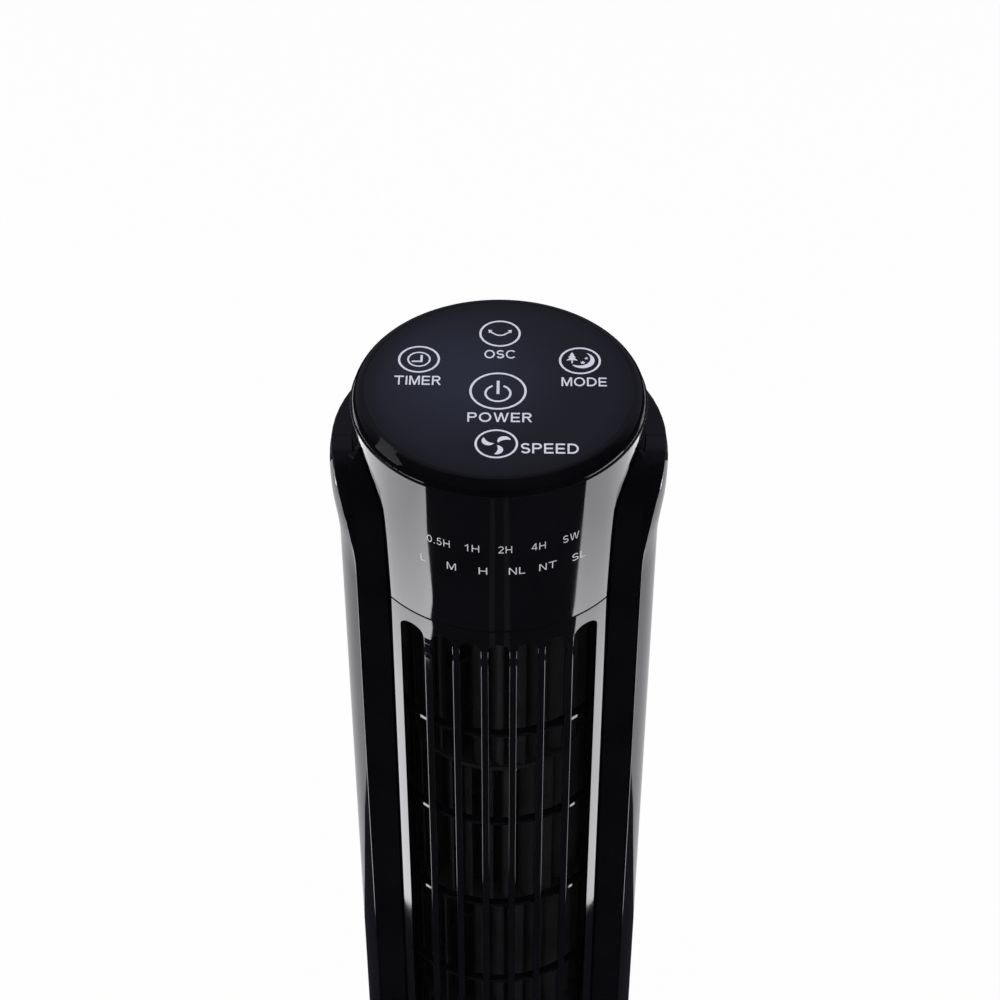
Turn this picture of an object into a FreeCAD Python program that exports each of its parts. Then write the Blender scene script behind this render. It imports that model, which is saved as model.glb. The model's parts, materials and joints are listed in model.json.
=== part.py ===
"""Oscillating tower fan with a cross-flow impeller, built from separate pieces.

Millimetres. Origin: centre of the base on the floor. +Z is up, the air leaves towards -Y.
The column swings about Z on a hollow post, driven by a pinion that rolls on a fixed toothed
sector. The impeller turns about an upright axis a little behind the column's axis.
"""
import FreeCAD, Part
import math
import os
from FreeCAD import Vector

# ---------------------------------------------------------------- driving sizes
fan_height = 762.0          # floor to the upper face of the control film
wall = 2.2                  # moulded shells
seat = 0.3                  # clearance between pieces that are seated
face = 0.1                  # axial play of running parts
fit = 0.05                  # radial running clearance of bearings
far = 200.0                 # cutting blocks reach past every piece

# base
base_r = 120.0
base_wall = 2.5
rim_height = 16.0           # upright edge of the base
rim_round = 6.0             # rounding above the edge
collar_r = 66.0             # raised collar under the column
collar_height = 9.0         # collar above the dome
deck_z = 36.0               # top of the collar
foot_r = 9.0
foot_height = 4.0
foot_sink = 1.0             # depth of the foot pockets
foot_inset = 22.0           # centres of the feet inside the base's edge
foot_count = 6
gland_r = 4.2               # inlet bush at the back of the base
gland_bore = 3.0
gland_flange = 1.3          # flange of the bush, inside the rim

# swing bearing and its drive
post_r = 9.0                # hollow post
post_bore = 6.0
post_flange_r = 21.5
post_flange_h = 2.0
post_screw_ring = 17.5
hub_r = 12.4
hub_height = 13.0
washer_h = 1.0
nut_r = 12.0
nut_height = 6.0
sector_teeth = 60           # teeth of the full circle
pinion_teeth = 16
pressure_angle = 20.0
backlash = 0.12
gear_width = 5.0
swing_half = 38.0           # swing to each side, degrees
stop_slack = 0.8            # the stops stand this much past the swing, degrees
stop_half = 5.0             # half width of a stop lug, degrees
turn_gap = 7.0              # turntable above the post's flange
turn_h = 3.0
swing_motor_gap = 0.6       # swing motor to the hub
swing_motor_room = 6.0      # swing motor to the housing's wall
swing_motor_h = 19.0
swing_shaft_r = 3.0

# round housing of the column
column_gap = 2.0            # column above the base's collar
housing_r = 71.2
flare_out = 2.9             # widest ring, near the top, beyond the straight wall
flare_in = 1.0              # from there back in to the top edge
flare_start = 80.0          # below the film
flare_widest = 40.0         # below the film
wing_top_drop = 28.0        # flat top of the housing below the film
front_plane = 33.5          # the housing is cut off this far in front of the axis
corner_depth = 28.0         # rounded upper front corner, front to back
corner_height = 24.0
frame_step = 8.5            # grille and lower front inside the housing
passage_gap = 0.4           # between housing and grille or head
rear_gap = 0.25             # joint between front frame and rear cover
frame_round = 0.8           # edge between front face and round side

# heights of the column's inside
lower_front_top = 150.0     # floor to the upper edge of the lower front
motor_plate_z = 138.0
plate_h = 3.0
ledge_h = 3.0
ledge_w = 3.5

# head
head_height = 86.25         # film to the seam above the grille
head_flare = 1.3            # head wider at its top than at the seam
head_edge = 0.5             # rounding of the head's upper edge
seam_edge = 0.4             # rounding on both sides of the seam
cap_drop = 6.6              # rounded rim of the cap
cap_step = 0.7              # cap inside the head's upper edge
rim_w = 5.4                 # rounded rim outside the film
film_t = 0.4
deck_t = 2.0                # cap's deck under the film
spigot_h = 5.4
spigot_ring_h = 22.0        # ring on the upper plate that holds the head

# grille
grille_wall = 2.2
side_strip = 19.225         # plain face on each side of the window, across
bar_count = 6
bar_w = 3.4
bar_depth = 9.2             # bars, front to back
bar_round = 0.6             # front edges of the bars
ear_t = 2.0                 # flanges of the grille behind the housing's front face
cheek_t = 2.0               # side walls of the grille's window
cheek_depth = 32.7          # from the grille's face to the back of its cheeks
bar_recess = 2.8
slot_top_gap = 13.0         # seam down to where the slots' round ends begin
slot_bottom_gap = 18.0      # lower front up to where they begin
scoop_height = 16.0
outer_slot_w = 10.4
rib_pitch = 62.0
rib_h = 1.8

# impeller and its duct
fan_y = 6.0                 # impeller axis behind the column axis
impeller_room = 18.7        # impeller inside the grille's outer face
impeller_sections = 5
blade_count = 26
blade_t = 1.1
blade_inner = 0.80          # inner edge of the blades, share of the radius
disc_t = 2.4
impeller_gap = 6.0          # impeller to the lower plate
impeller_drop = 9.0         # impeller below the upper plate
tongue_gap = 3.5
duct_wall = 2.0
shaft_r = 4.0
pin_r = 3.0

# motor
motor_r = 41.0
stator_h = 24.0
bell_h = 15.0
rotor_r = 21.0
air_gap = 0.4
grommet_ring = 33.0

# control keys: place on the film and radius of the printed ring
keys = {
    "key_power": (0.0, -3.5, 11.75),
    "key_swing": (0.0, 35.5, 8.7),
    "key_speed": (0.0, -37.5, 8.7),
    "key_timer": (-34.8, 17.3, 8.7),
    "key_mode": (34.8, 17.3, 8.7),
}
key_inset = 2.2             # plunger smaller than the printed ring
key_t = 2.6
key_gap = 0.35
key_flange = 1.4
stem_r = 1.6
board_drop = 13.0           # control board's upper face below the film
board_t = 1.6
board_inset = 3.9           # board inside the film's edge
switch_w = 6.0
switch_h = 3.6
board_post_inset = 6.0
board_post_angles = (-40.0, -140.0, 60.0, 120.0)

# front display
led_rows = (
    (36.3, (-22.7, -9.4, 2.8, 15.8, 28.9)),
    (49.7, (-30.3, -18.0, -5.6, 7.1, 19.3, 32.9)),
)
light_box_depth = 18.7      # behind the head's front
light_box_side = 4.85       # beyond the outermost lamps
light_box_top = 28.0
light_box_bottom = 58.0
cell_w = 6.0
led_w = 3.0
led_h = 2.0

# mains board
mains_w = 84.0
mains_d = 52.0
mains_lift = 12.0

# screws
screw_r = 1.5
screw_head_r = 3.0
screw_head_h = 2.0
boss_r = 4.0

# ---------------------------------------------------------------- derived sizes
foot_ring_r = base_r - foot_inset
flare_r = housing_r + flare_out
flare_top_r = flare_r - flare_in
front_r = housing_r - frame_step
head_top_r = front_r + head_flare
cap_r = head_top_r - cap_step
film_r = cap_r - rim_w
impeller_r = front_r - impeller_room
bar_back_r = front_r - bar_depth
slot_edge = front_r - side_strip
bar_pitch = (slot_edge - outer_slot_w - bar_w / 2) / ((bar_count - 1) / 2)
cheek_back = front_r - cheek_depth
board_r = film_r - board_inset
board_post_ring = board_r - board_post_inset
light_box_back = front_r - light_box_depth
base_z = foot_height - foot_sink
gear_z = deck_z
flange_z = gear_z + gear_width
washer_z = flange_z + post_flange_h
hub_z = washer_z + washer_h
turn_z = flange_z + post_flange_h + turn_gap
turn_top = turn_z + turn_h
hub_top = hub_z + hub_height
column_z = deck_z + column_gap
wing_top = fan_height - wing_top_drop
seam_z = fan_height - head_height
cap_z = fan_height - cap_drop
upper_plate_z = seam_z - 6.0
motor_plate_top = motor_plate_z + plate_h
upper_plate_top = upper_plate_z + plate_h
impeller_z = motor_plate_top + impeller_gap
impeller_top = upper_plate_z - impeller_drop
grille_z = lower_front_top + seat
grille_top = seam_z - seat
slot_low = grille_z + slot_bottom_gap
slot_high = seam_z - slot_top_gap
passage_r = front_r + passage_gap
board_z = fan_height - board_drop
gear_centres = (hub_r + swing_motor_gap + housing_r - wall - swing_motor_room) / 2
swing_motor_r = gear_centres - hub_r - swing_motor_gap
gear_module = 2 * gear_centres / (sector_teeth + pinion_teeth)
gear_r = gear_module * sector_teeth / 2
pinion_r = gear_module * pinion_teeth / 2


# ---------------------------------------------------------------- helpers
def cyl(radius, height, z=0.0, x=0.0, y=0.0):
    return Part.makeCylinder(radius, height, Vector(x, y, z))


def ring(outer, inner, height, z=0.0, x=0.0, y=0.0):
    return cyl(outer, height, z, x, y).cut(cyl(inner, height + 2, z - 1, x, y))


def block(x0, x1, y0, y1, z0, z1):
    return Part.makeBox(x1 - x0, y1 - y0, z1 - z0, Vector(x0, y0, z0))


def polar(radius, angle):
    turn = math.radians(angle)
    return radius * math.cos(turn), radius * math.sin(turn)


def polygon(points):
    corners = [Vector(*p) for p in points]
    return Part.makePolygon(corners + corners[:1])


def turned(wire):
    """A closed outline in the XZ plane, turned once round the Z axis."""
    return Part.Face(wire).revolve(Vector(0, 0, 0), Vector(0, 0, 1), 360)


def turned_points(points):
    return turned(polygon([(r, 0, z) for r, z in points]))


def line(a, b):
    return Part.LineSegment(Vector(*a), Vector(*b)).toShape()


def arc(a, b, c):
    return Part.Arc(Vector(*a), Vector(*b), Vector(*c)).toShape()


def quarter(centre, first, last):
    """Quarter of an ellipse round a centre, between the ends of its two half axes."""
    steps = 8
    turns = [math.pi / 2 * i / steps for i in range(steps + 1)]
    a = Vector(*first)
    b = Vector(*last)
    spline = Part.BSplineCurve()
    spline.interpolate(Points=[Vector(*centre) + a * math.cos(t) + b * math.sin(t) for t in turns],
                       InitialTangent=b, FinalTangent=-a)
    return spline.toShape()


def one(shape):
    """The single solid inside a shape."""
    return shape.removeSplitter().Solids[0]


def group(shapes):
    return Part.makeCompound([s.Solids[0] for s in shapes])


def screw(x, y, z, length, head_up=True):
    """Pan-head screw on Z whose head seats at z; the shank runs away from the head."""
    if head_up:
        return cyl(screw_head_r, screw_head_h, z, x, y).fuse(cyl(screw_r, length, z - length, x, y))
    return cyl(screw_head_r, screw_head_h, z - screw_head_h, x, y).fuse(cyl(screw_r, length, z, x, y))


def drilled(points, hole_r, z, height):
    """Round tools along Z, one at each point."""
    return [cyl(hole_r, height, z, x, y) for x, y in points]


# ---------------------------------------------------------------- base
def base_outline(inset):
    """Half section of the base: upright rim, shallow dome, concave foot, collar."""
    rim_top = base_z + rim_height
    outer = base_r - inset
    dome_out = outer - rim_round
    collar = collar_r - inset
    collar_foot = deck_z - collar_height
    z0 = base_z - (1.0 if inset else 0.0)
    lift = rim_top + rim_round * 0.75 - inset
    fillet = 5.0
    dome_end = (collar + fillet, 0, collar_foot - inset)
    dome_mid = ((dome_out + dome_end[0]) / 2, 0, (lift + dome_end[2]) / 2 + 2.0)
    edges = [
        line((0, 0, z0), (outer, 0, z0)),
        line((outer, 0, z0), (outer, 0, rim_top - inset / 2)),
        arc((outer, 0, rim_top - inset / 2), (outer - rim_round * 0.25, 0, lift - rim_round * 0.25),
            (dome_out, 0, lift)),
        arc((dome_out, 0, lift), dome_mid, dome_end),
        arc(dome_end, (collar + fillet * 0.3, 0, collar_foot - inset + fillet * 0.3),
            (collar, 0, collar_foot - inset + fillet)),
        line((collar, 0, collar_foot - inset + fillet), (collar, 0, deck_z - inset)),
        line((collar, 0, deck_z - inset), (0, 0, deck_z - inset)),
        line((0, 0, deck_z - inset), (0, 0, z0)),
    ]
    return Part.Wire(edges)


def post_screw_points():
    return [polar(post_screw_ring, a) for a in (45, 135, 225, 315)]


def base_screw_points():
    return [polar(foot_ring_r, 360 / foot_count * i) for i in range(foot_count)]


def foot_points():
    return [polar(foot_ring_r, 360 / foot_count * (i + 0.5)) for i in range(foot_count)]


def gland_place():
    """Height of the inlet bush's axis in the base's rim."""
    return base_z + base_wall + gland_r + gland_flange + seat


def base_cover():
    inside = turned(base_outline(base_wall))
    shell = turned(base_outline(0)).cut(inside)
    bosses = [cyl(boss_r, deck_z, base_z + base_wall, x, y) for x, y in base_screw_points()]
    boss_group = bosses[0].multiFuse(bosses[1:]).common(inside)
    shell = shell.fuse(boss_group)
    tools = [cyl(post_bore, 20, deck_z - 10)]
    tools += drilled(post_screw_points(), screw_r, deck_z - 10, 20)
    tools += drilled(base_screw_points(), screw_r, base_z - 1, base_wall + 9)
    tools.append(Part.makeCylinder(gland_r, 20, Vector(0, base_r - 10, gland_place()), Vector(0, 1, 0)))
    return one(shell.cut(tools))


def base_plate():
    plate = cyl(base_r - base_wall - seat, base_wall, base_z)
    rib = ring(base_r - 36, base_r - 38, 5, base_z + base_wall)
    plate = plate.fuse(rib)
    tools = drilled(foot_points(), foot_r, base_z - 1, foot_sink + 1)
    tools += drilled(base_screw_points(), screw_r + 0.2, base_z - 1, 12)
    return one(plate.cut(tools))


def rubber_feet():
    return group([cyl(foot_r, foot_height, 0, x, y) for x, y in foot_points()])


def base_screws():
    return group([screw(x, y, base_z, base_wall + 7, head_up=False) for x, y in base_screw_points()])


def cord_gland():
    """Flanged bush in the rim of the base."""
    z = gland_place()
    inner_face = math.sqrt((base_r - base_wall) ** 2 - (gland_r + gland_flange) ** 2)
    y0 = inner_face - 5.0
    axis = Vector(0, 1, 0)
    bush = Part.makeCylinder(gland_r - fit, base_r - 0.2 - y0, Vector(0, y0, z), axis)
    flange = Part.makeCylinder(gland_r + gland_flange, 3.0, Vector(0, inner_face - 3.0 - face, z), axis)
    bore = Part.makeCylinder(gland_bore, 30, Vector(0, y0 - 5, z), axis)
    return one(bush.fuse(flange).cut(bore))


# ---------------------------------------------------------------- swing bearing and drive
def involute_angle(radius, base_radius):
    turn = math.acos(min(1.0, base_radius / radius))
    return math.tan(turn) - turn


def tooth_edges(teeth, angle, play):
    """Edges of one tooth from its right root to its left root, seen along -Z."""
    pitch = gear_module * teeth / 2
    base_circle = pitch * math.cos(math.radians(pressure_angle))
    tip = pitch + gear_module
    root = pitch - 1.25 * gear_module
    start = max(base_circle, root)
    flank = math.pi / (2 * teeth) - play / (2 * pitch)
    flank += involute_angle(pitch, base_circle)
    steps = 4
    radii = [start + (tip - start) * i / steps for i in range(steps + 1)]
    mid = math.radians(angle)

    def point(radius, side):
        turn = mid + side * (flank - involute_angle(radius, base_circle))
        return Vector(radius * math.cos(turn), radius * math.sin(turn), 0)

    def curve(points):
        spline = Part.BSplineCurve()
        spline.interpolate(points)
        return spline.toShape()

    right = [point(r, -1) for r in radii]
    left = [point(r, 1) for r in reversed(radii)]
    foot = [Vector(root * math.cos(mid + s * flank), root * math.sin(mid + s * flank), 0) for s in (-1, 1)]
    edges = []
    if root < start - 0.01:
        edges.append(line(foot[0], right[0]))
    edges += [curve(right), line(right[-1], left[0]), curve(left)]
    if root < start - 0.01:
        edges.append(line(left[-1], foot[1]))
    first = foot[0] if root < start - 0.01 else right[0]
    last = foot[1] if root < start - 0.01 else left[-1]
    return edges, first, last


def swing_sector():
    """Fixed disc under the post's flange: a toothed sector at the back, two stop lugs in front."""
    reach = swing_half + 15.0
    step = 360.0 / sector_teeth
    count = 2 * round(reach / step)
    angles = [90 + (i - (count - 1) / 2) * step for i in range(count)]
    edges = []
    previous = None
    for angle in angles:
        tooth, first, last = tooth_edges(sector_teeth, angle, backlash)
        if previous is not None:
            edges.append(line(previous, first))
        else:
            begin = first
        edges += tooth
        previous = last
    root = begin.Length
    edges.append(arc(previous, (0, -root, 0), begin))
    disc = Part.Face(Part.Wire(edges)).extrude(Vector(0, 0, gear_width))
    disc.translate(Vector(0, 0, gear_z))
    lug_out = root
    lug_in = post_flange_r + 2.0
    lug = ring(lug_out, lug_in, gear_width + 1, flange_z - 1)
    for side in (-1, 1):
        centre = -90 + side * (swing_half + stop_slack + 2 * stop_half)
        disc = disc.fuse(lug.common(wedge(centre, stop_half, gear_z, 20, lug_out + 5)))
    tools = [cyl(post_bore, 30, gear_z - 5)]
    tools += drilled(post_screw_points(), screw_r, gear_z - 5, 30)
    return one(disc.cut(tools))


def wedge(angle, half, z, height, radius):
    a = polar(radius, angle - half)
    b = polar(radius, angle + half)
    face_ = Part.Face(polygon([(0, 0, z), (a[0], a[1], z), (b[0], b[1], z)]))
    return face_.extrude(Vector(0, 0, height))


def swing_post():
    """Hollow post with a flange; the wires pass through its bore."""
    top = hub_top + washer_h + nut_height + 2.0
    post = cyl(post_flange_r, post_flange_h, flange_z).fuse(cyl(post_r, top - flange_z, flange_z))
    tools = [cyl(post_bore, 60, flange_z - 5)]
    tools += drilled(post_screw_points(), screw_r, flange_z - 5, 20)
    return one(post.cut(tools))


def post_screws():
    return group([screw(x, y, washer_z, gear_width + post_flange_h + base_wall + 1.5)
                  for x, y in post_screw_points()])


def thrust_washers():
    lower = ring(hub_r, post_r + fit, washer_h, washer_z)
    upper = ring(hub_r, post_r + fit, washer_h, hub_top)
    return group([lower, upper])


def post_nut():
    hexagon = [polar(nut_r, 60 * i) for i in range(6)]
    nut = Part.Face(polygon([(x, y, 0) for x, y in hexagon])).extrude(Vector(0, 0, nut_height))
    nut.translate(Vector(0, 0, hub_top + washer_h))
    return one(nut.cut(cyl(post_r, 40, hub_top - 5)))


def swing_motor_place():
    return 0.0, gear_centres


def swing_motor_ears():
    x, y = swing_motor_place()
    return [(x - swing_motor_r - 4.0, y), (x + swing_motor_r + 4.0, y)]


def swing_motor():
    """Flat geared synchronous motor with two ears."""
    x, y = swing_motor_place()
    can = cyl(swing_motor_r, swing_motor_h, turn_top, x, y)
    for ex, ey in swing_motor_ears():
        can = can.fuse(cyl(boss_r, 1.5, turn_top, ex, ey))
        can = can.fuse(block(min(x, ex), max(x, ex), ey - boss_r, ey + boss_r, turn_top, turn_top + 1.5))
    tools = [cyl(swing_shaft_r + fit, 8, turn_top - 1, x, y)]
    tools += drilled(swing_motor_ears(), screw_r, turn_top - 1, 5)
    return one(can.cut(tools))


def swing_motor_screws():
    return group([screw(x, y, turn_top + 1.5, 4.0) for x, y in swing_motor_ears()])


def swing_shaft():
    x, y = swing_motor_place()
    return cyl(swing_shaft_r, turn_top + 6.5 - gear_z - 1.2, gear_z + 1.2, x, y).Solids[0]


def swing_pinion():
    """Sixteen-tooth pinion; at rest one tooth points at the post."""
    x, y = swing_motor_place()
    step = 360.0 / pinion_teeth
    edges = []
    previous = None
    for i in range(pinion_teeth):
        tooth, first, last = tooth_edges(pinion_teeth, -90 + i * step, backlash)
        if previous is None:
            begin = first
        else:
            edges.append(line(previous, first))
        edges += tooth
        previous = last
    edges.append(line(previous, begin))
    gear = Part.Face(Part.Wire(edges)).extrude(Vector(0, 0, gear_width - 0.4))
    gear.translate(Vector(x, y, gear_z + 0.8))
    collar = cyl(swing_shaft_r + 2.5, 4.0, gear_z + gear_width + 0.3, x, y)
    return one(gear.fuse(collar).cut(cyl(swing_shaft_r, 60, gear_z - 5, x, y)))


# ---------------------------------------------------------------- housing of the column
def housing_outline(inset, z0):
    """Half section of the round housing: straight wall, soft flare, flat top."""
    low = housing_r - inset
    wide = flare_r - inset
    top_r = flare_top_r - inset
    top = wing_top - inset
    start = fan_height - flare_start
    widest = fan_height - flare_widest
    rise = widest - start
    grow = wide - low
    sag = grow / 8
    edge = 1.2 if inset == 0 else 0.0
    edges = [
        line((0, 0, z0), (low, 0, z0)),
        line((low, 0, z0), (low, 0, start)),
        arc((low, 0, start), (low + sag, 0, start + rise / 4), (low + grow / 2, 0, start + rise / 2)),
        arc((low + grow / 2, 0, start + rise / 2), (wide - sag, 0, widest - rise / 4), (wide, 0, widest)),
        arc((wide, 0, widest), (wide - (wide - top_r) / 4, 0, (widest + top - edge) / 2),
            (top_r, 0, top - edge)),
    ]
    if edge:
        edges.append(arc((top_r, 0, top - edge), (top_r - edge * 0.3, 0, top - edge * 0.3),
                         (top_r - edge, 0, top)))
    edges += [line((top_r - edge, 0, top), (0, 0, top)), line((0, 0, top), (0, 0, z0))]
    return Part.Wire(edges)


def front_void(inset):
    """What the front plane and the rounded upper corner take away from the round housing."""
    y_front = -front_plane + inset
    y_back = -front_plane + corner_depth
    z_top = wing_top - inset
    z_low = wing_top - corner_height
    reach = 2 * housing_r
    edges = [
        line((0, y_front, -10), (0, y_front, z_low)),
        quarter((0, y_back, z_low), (0, y_front - y_back, 0), (0, 0, z_top - z_low)),
        line((0, y_back, z_top), (0, y_back, z_top + 100)),
        line((0, y_back, z_top + 100), (0, -reach, z_top + 100)),
        line((0, -reach, z_top + 100), (0, -reach, -10)),
        line((0, -reach, -10), (0, y_front, -10)),
    ]
    face_ = Part.Face(Part.Wire(Part.sortEdges(edges)[0]))
    void = face_.extrude(Vector(2 * reach, 0, 0))
    void.translate(Vector(-reach, 0, 0))
    return void


def envelope(inset, z0=None):
    """Outer form of the column without grille and head, inset by a wall."""
    bottom = column_z if z0 is None else z0
    body = turned(housing_outline(inset, bottom)).cut(front_void(inset))
    top = lower_front_top if inset == 0 else lower_front_top + 5
    return body.fuse(cyl(front_r - inset, top - bottom, bottom))


def on_front(q):
    """Whether a point lies on the flat front or on the rounded corner above it."""
    z_low = wing_top - corner_height
    if q.z <= z_low:
        return abs(q.y + front_plane) < 0.001
    across = (q.y + front_plane - corner_depth) / corner_depth
    up = (q.z - z_low) / corner_height
    return abs(across ** 2 + up ** 2 - 1) < 0.01


def round_front(body):
    """Rounds the long edges between the front face and the round sides."""
    rims = []
    for edge in body.Edges:
        first, last = edge.ParameterRange
        points = [edge.valueAt(first + (last - first) * share) for share in (0, 0.25, 0.5, 0.75, 1)]
        outside = all(math.hypot(q.x, q.y) > housing_r - 0.01 and on_front(q) for q in points)
        rises = max(q.z for q in points) - min(q.z for q in points) > 1
        if outside and rises:
            rims.append(edge)
    return body.makeFillet(frame_round, rims)


def shell():
    """Whole housing wall, front and rear still in one piece."""
    return envelope(0).cut(envelope(wall, column_z - 5)).cut(passage())


def passage():
    """Room for the grille and the head: straight up to the seam, then with the head's taper."""
    straight = cyl(passage_r, seam_z - lower_front_top, lower_front_top)
    return straight.fuse(head_cone(-passage_gap, seam_z, fan_height))


def ledge(z):
    """Ledge on the inside of the housing that a plate rests on."""
    slab = cyl(2 * housing_r, ledge_h, z)
    rim = envelope(wall - 0.2, column_z - 5).common(slab)
    return rim.cut(envelope(wall + ledge_w, column_z - 5))


def housing_screw_heights():
    low = column_z + 30
    high = upper_plate_z - 100
    return [low + (high - low) * i / 3 for i in range(4)]


def housing_screw_x():
    return housing_r - wall - 2 * boss_r + 1.0


def side_posts(y0, y1):
    """Screw bosses along Y inside both sides of the housing."""
    posts = []
    for z in housing_screw_heights():
        for side in (-1, 1):
            start = Vector(side * housing_screw_x(), y0, z)
            posts.append(Part.makeCylinder(boss_r, y1 - y0, start, Vector(0, 1, 0)))
    return posts


def side_holes(radius, y0, y1):
    holes = []
    for z in housing_screw_heights():
        for side in (-1, 1):
            start = Vector(side * housing_screw_x(), y0, z)
            holes.append(Part.makeCylinder(radius, y1 - y0, start, Vector(0, 1, 0)))
    return holes


def front_frame():
    """Front half of the housing: two wings with a front face, and the lower front."""
    skin = shell()
    inner = envelope(wall - 0.1, column_z - 5)
    posts = side_posts(-24, 0)
    body = skin.fuse([ledge(turn_top), ledge(motor_plate_z - ledge_h), ledge(upper_plate_z - ledge_h)])
    body = body.fuse([p.common(inner) for p in posts])
    body = body.common(block(-far, far, -far, 0, 0, fan_height))
    body = body.cut(passage())
    body = body.cut(side_holes(screw_r, -12, 5))
    return round_front(one(body))


def intake_slots():
    """Upright intake slots in rows round the back."""
    columns = 15
    rows = 6
    pitch = 6.6
    slot_w = 4.0
    low = impeller_z + 8
    high = impeller_top - 8
    bridge = 8.0
    height = (high - low - (rows - 1) * bridge) / rows
    cuts = []
    for c in range(columns):
        angle = (c - (columns - 1) / 2) * pitch
        for r in range(rows):
            z = low + r * (height + bridge)
            slot = block(-slot_w / 2, slot_w / 2, housing_r - 8, housing_r + 8, z, z + height)
            slot.rotate(Vector(0, 0, 0), Vector(0, 0, 1), angle)
            cuts.append(slot)
    return cuts


def rear_cover():
    """Rear half of the housing with the intake slots."""
    skin = shell()
    inner = envelope(wall - 0.1, column_z - 5)
    body = skin.fuse([ledge(turn_top), ledge(motor_plate_z - ledge_h), ledge(upper_plate_z - ledge_h)])
    body = body.fuse([p.common(inner) for p in side_posts(rear_gap, 60)])
    body = body.common(block(-far, far, rear_gap, far, 0, fan_height))
    body = body.cut(side_holes(screw_r + 0.2, -5, 80) + side_holes(screw_head_r + 0.3, 10, 80))
    return one(body.cut(intake_slots()))


def housing_screws():
    screws = []
    for z in housing_screw_heights():
        for side in (-1, 1):
            x = side * housing_screw_x()
            head = Part.makeCylinder(screw_head_r, screw_head_h, Vector(x, 10, z), Vector(0, 1, 0))
            shank = Part.makeCylinder(screw_r, 21, Vector(x, -11, z), Vector(0, 1, 0))
            screws.append(head.fuse(shank))
    return group(screws)


def plate_outline(z, height):
    return envelope(wall + seat, column_z - 5).common(cyl(2 * housing_r, height, z))


def turntable():
    """Floor of the column with the hub that turns on the post, and the stop tab."""
    plate = plate_outline(turn_z, turn_h)
    hub = cyl(hub_r, hub_top - hub_z - face, hub_z)
    rim = plate_outline(turn_z - 8, 8.5).cut(envelope(wall + seat + 2.2, column_z - 5))
    tab = ring(gear_r - 1.25 * gear_module - 0.3, post_flange_r + 2.3, turn_z - flange_z, flange_z + 0.8)
    tab = tab.common(wedge(-90, stop_half, flange_z, 30, 60)).common(cyl(60, turn_z - flange_z, flange_z))
    x, y = swing_motor_place()
    body = plate.fuse([hub, rim, tab])
    tools = [cyl(post_r + fit, 60, hub_z - 10), cyl(pinion_r, 10, turn_z - 1, x, y)]
    tools += drilled(swing_motor_ears(), screw_r, turn_z - 1, 10)
    return one(body.cut(tools))


# ---------------------------------------------------------------- motor
def motor_top():
    return motor_plate_z - 3.0


def grommet_points():
    points = [polar(grommet_ring, a) for a in (45, 135, 225, 315)]
    return [(x, y + fan_y) for x, y in points]


def motor_bell(z, height, closed_up):
    """End bell: a cup with a bush seat in its floor."""
    floor_z = z + height - 3.0 if closed_up else z
    cup = ring(motor_r, motor_r - 2.5, height, z, 0, fan_y)
    cup = cup.fuse(cyl(motor_r, 3.0, floor_z, 0, fan_y))
    nose_z = floor_z - 7.0 if closed_up else floor_z
    cup = cup.fuse(cyl(9.0, 10.0, nose_z, 0, fan_y))
    return cup.cut(cyl(6.5, 40, floor_z - 20, 0, fan_y))


def motor_lower_bell():
    z = motor_top() - 2 * bell_h - stator_h
    return one(motor_bell(z, bell_h, False))


def motor_upper_bell():
    bell = motor_bell(motor_top() - bell_h, bell_h, True)
    return one(bell.cut(drilled(grommet_points(), screw_r, motor_top() - 6, 20)))


def motor_stator():
    """Laminated ring with twelve winding slots open to the bore."""
    z = motor_top() - bell_h - stator_h
    bore = rotor_r + air_gap
    core = ring(motor_r, bore, stator_h, z, 0, fan_y)
    cuts = []
    for i in range(12):
        slot = block(bore + 2.5, motor_r - 7, -3.5, 3.5, z - 1, z + stator_h + 1)
        mouth = block(bore - 2, bore + 4, -1.0, 1.0, z - 1, z + stator_h + 1)
        for piece in (slot, mouth):
            piece.translate(Vector(0, fan_y, 0))
            piece.rotate(Vector(0, fan_y, 0), Vector(0, 0, 1), 30 * i)
            cuts.append(piece)
    return one(core.cut(cuts))


def motor_windings():
    """End turns of the copper windings above and below the core."""
    low = motor_top() - bell_h - stator_h
    inner = rotor_r + 4.0
    outer = motor_r - 6.0
    return group([ring(outer, inner, 8.0, low - 8.0, 0, fan_y),
                  ring(outer, inner, 8.0, low + stator_h, 0, fan_y)])


def motor_bushes():
    low = motor_top() - 2 * bell_h - stator_h
    return group([ring(6.5, shaft_r + fit, 8.0, low + 1.0, 0, fan_y),
                  ring(6.5, shaft_r + fit, 8.0, motor_top() - 9.0, 0, fan_y)])


def motor_rotor():
    z = motor_top() - bell_h - stator_h
    rotor = ring(rotor_r, shaft_r, stator_h, z, 0, fan_y)
    rings = ring(rotor_r - 2, rotor_r - 7, stator_h + 6, z - 3, 0, fan_y)
    return one(rotor.fuse(rings))


def motor_shaft():
    low = motor_top() - 2 * bell_h - stator_h + 0.5
    return cyl(shaft_r, impeller_z + 12 - low, low, 0, fan_y).Solids[0]


def motor_grommets():
    """Rubber spools between the motor and its plate."""
    waist = 4.5
    flange = 6.5
    spools = []
    for x, y in grommet_points():
        spool = turned_points([(2.0, motor_top()), (flange, motor_top()), (flange, motor_plate_z),
                               (waist, motor_plate_z), (waist, motor_plate_top),
                               (flange, motor_plate_top), (flange, motor_plate_top + 2),
                               (2.0, motor_plate_top + 2)])
        spool.translate(Vector(x, y, 0))
        spools.append(spool)
    return group(spools)


def motor_screws():
    return group([screw(x, y, motor_plate_top + 2, motor_plate_top + 2 - motor_top() + 5)
                  for x, y in grommet_points()])


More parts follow.
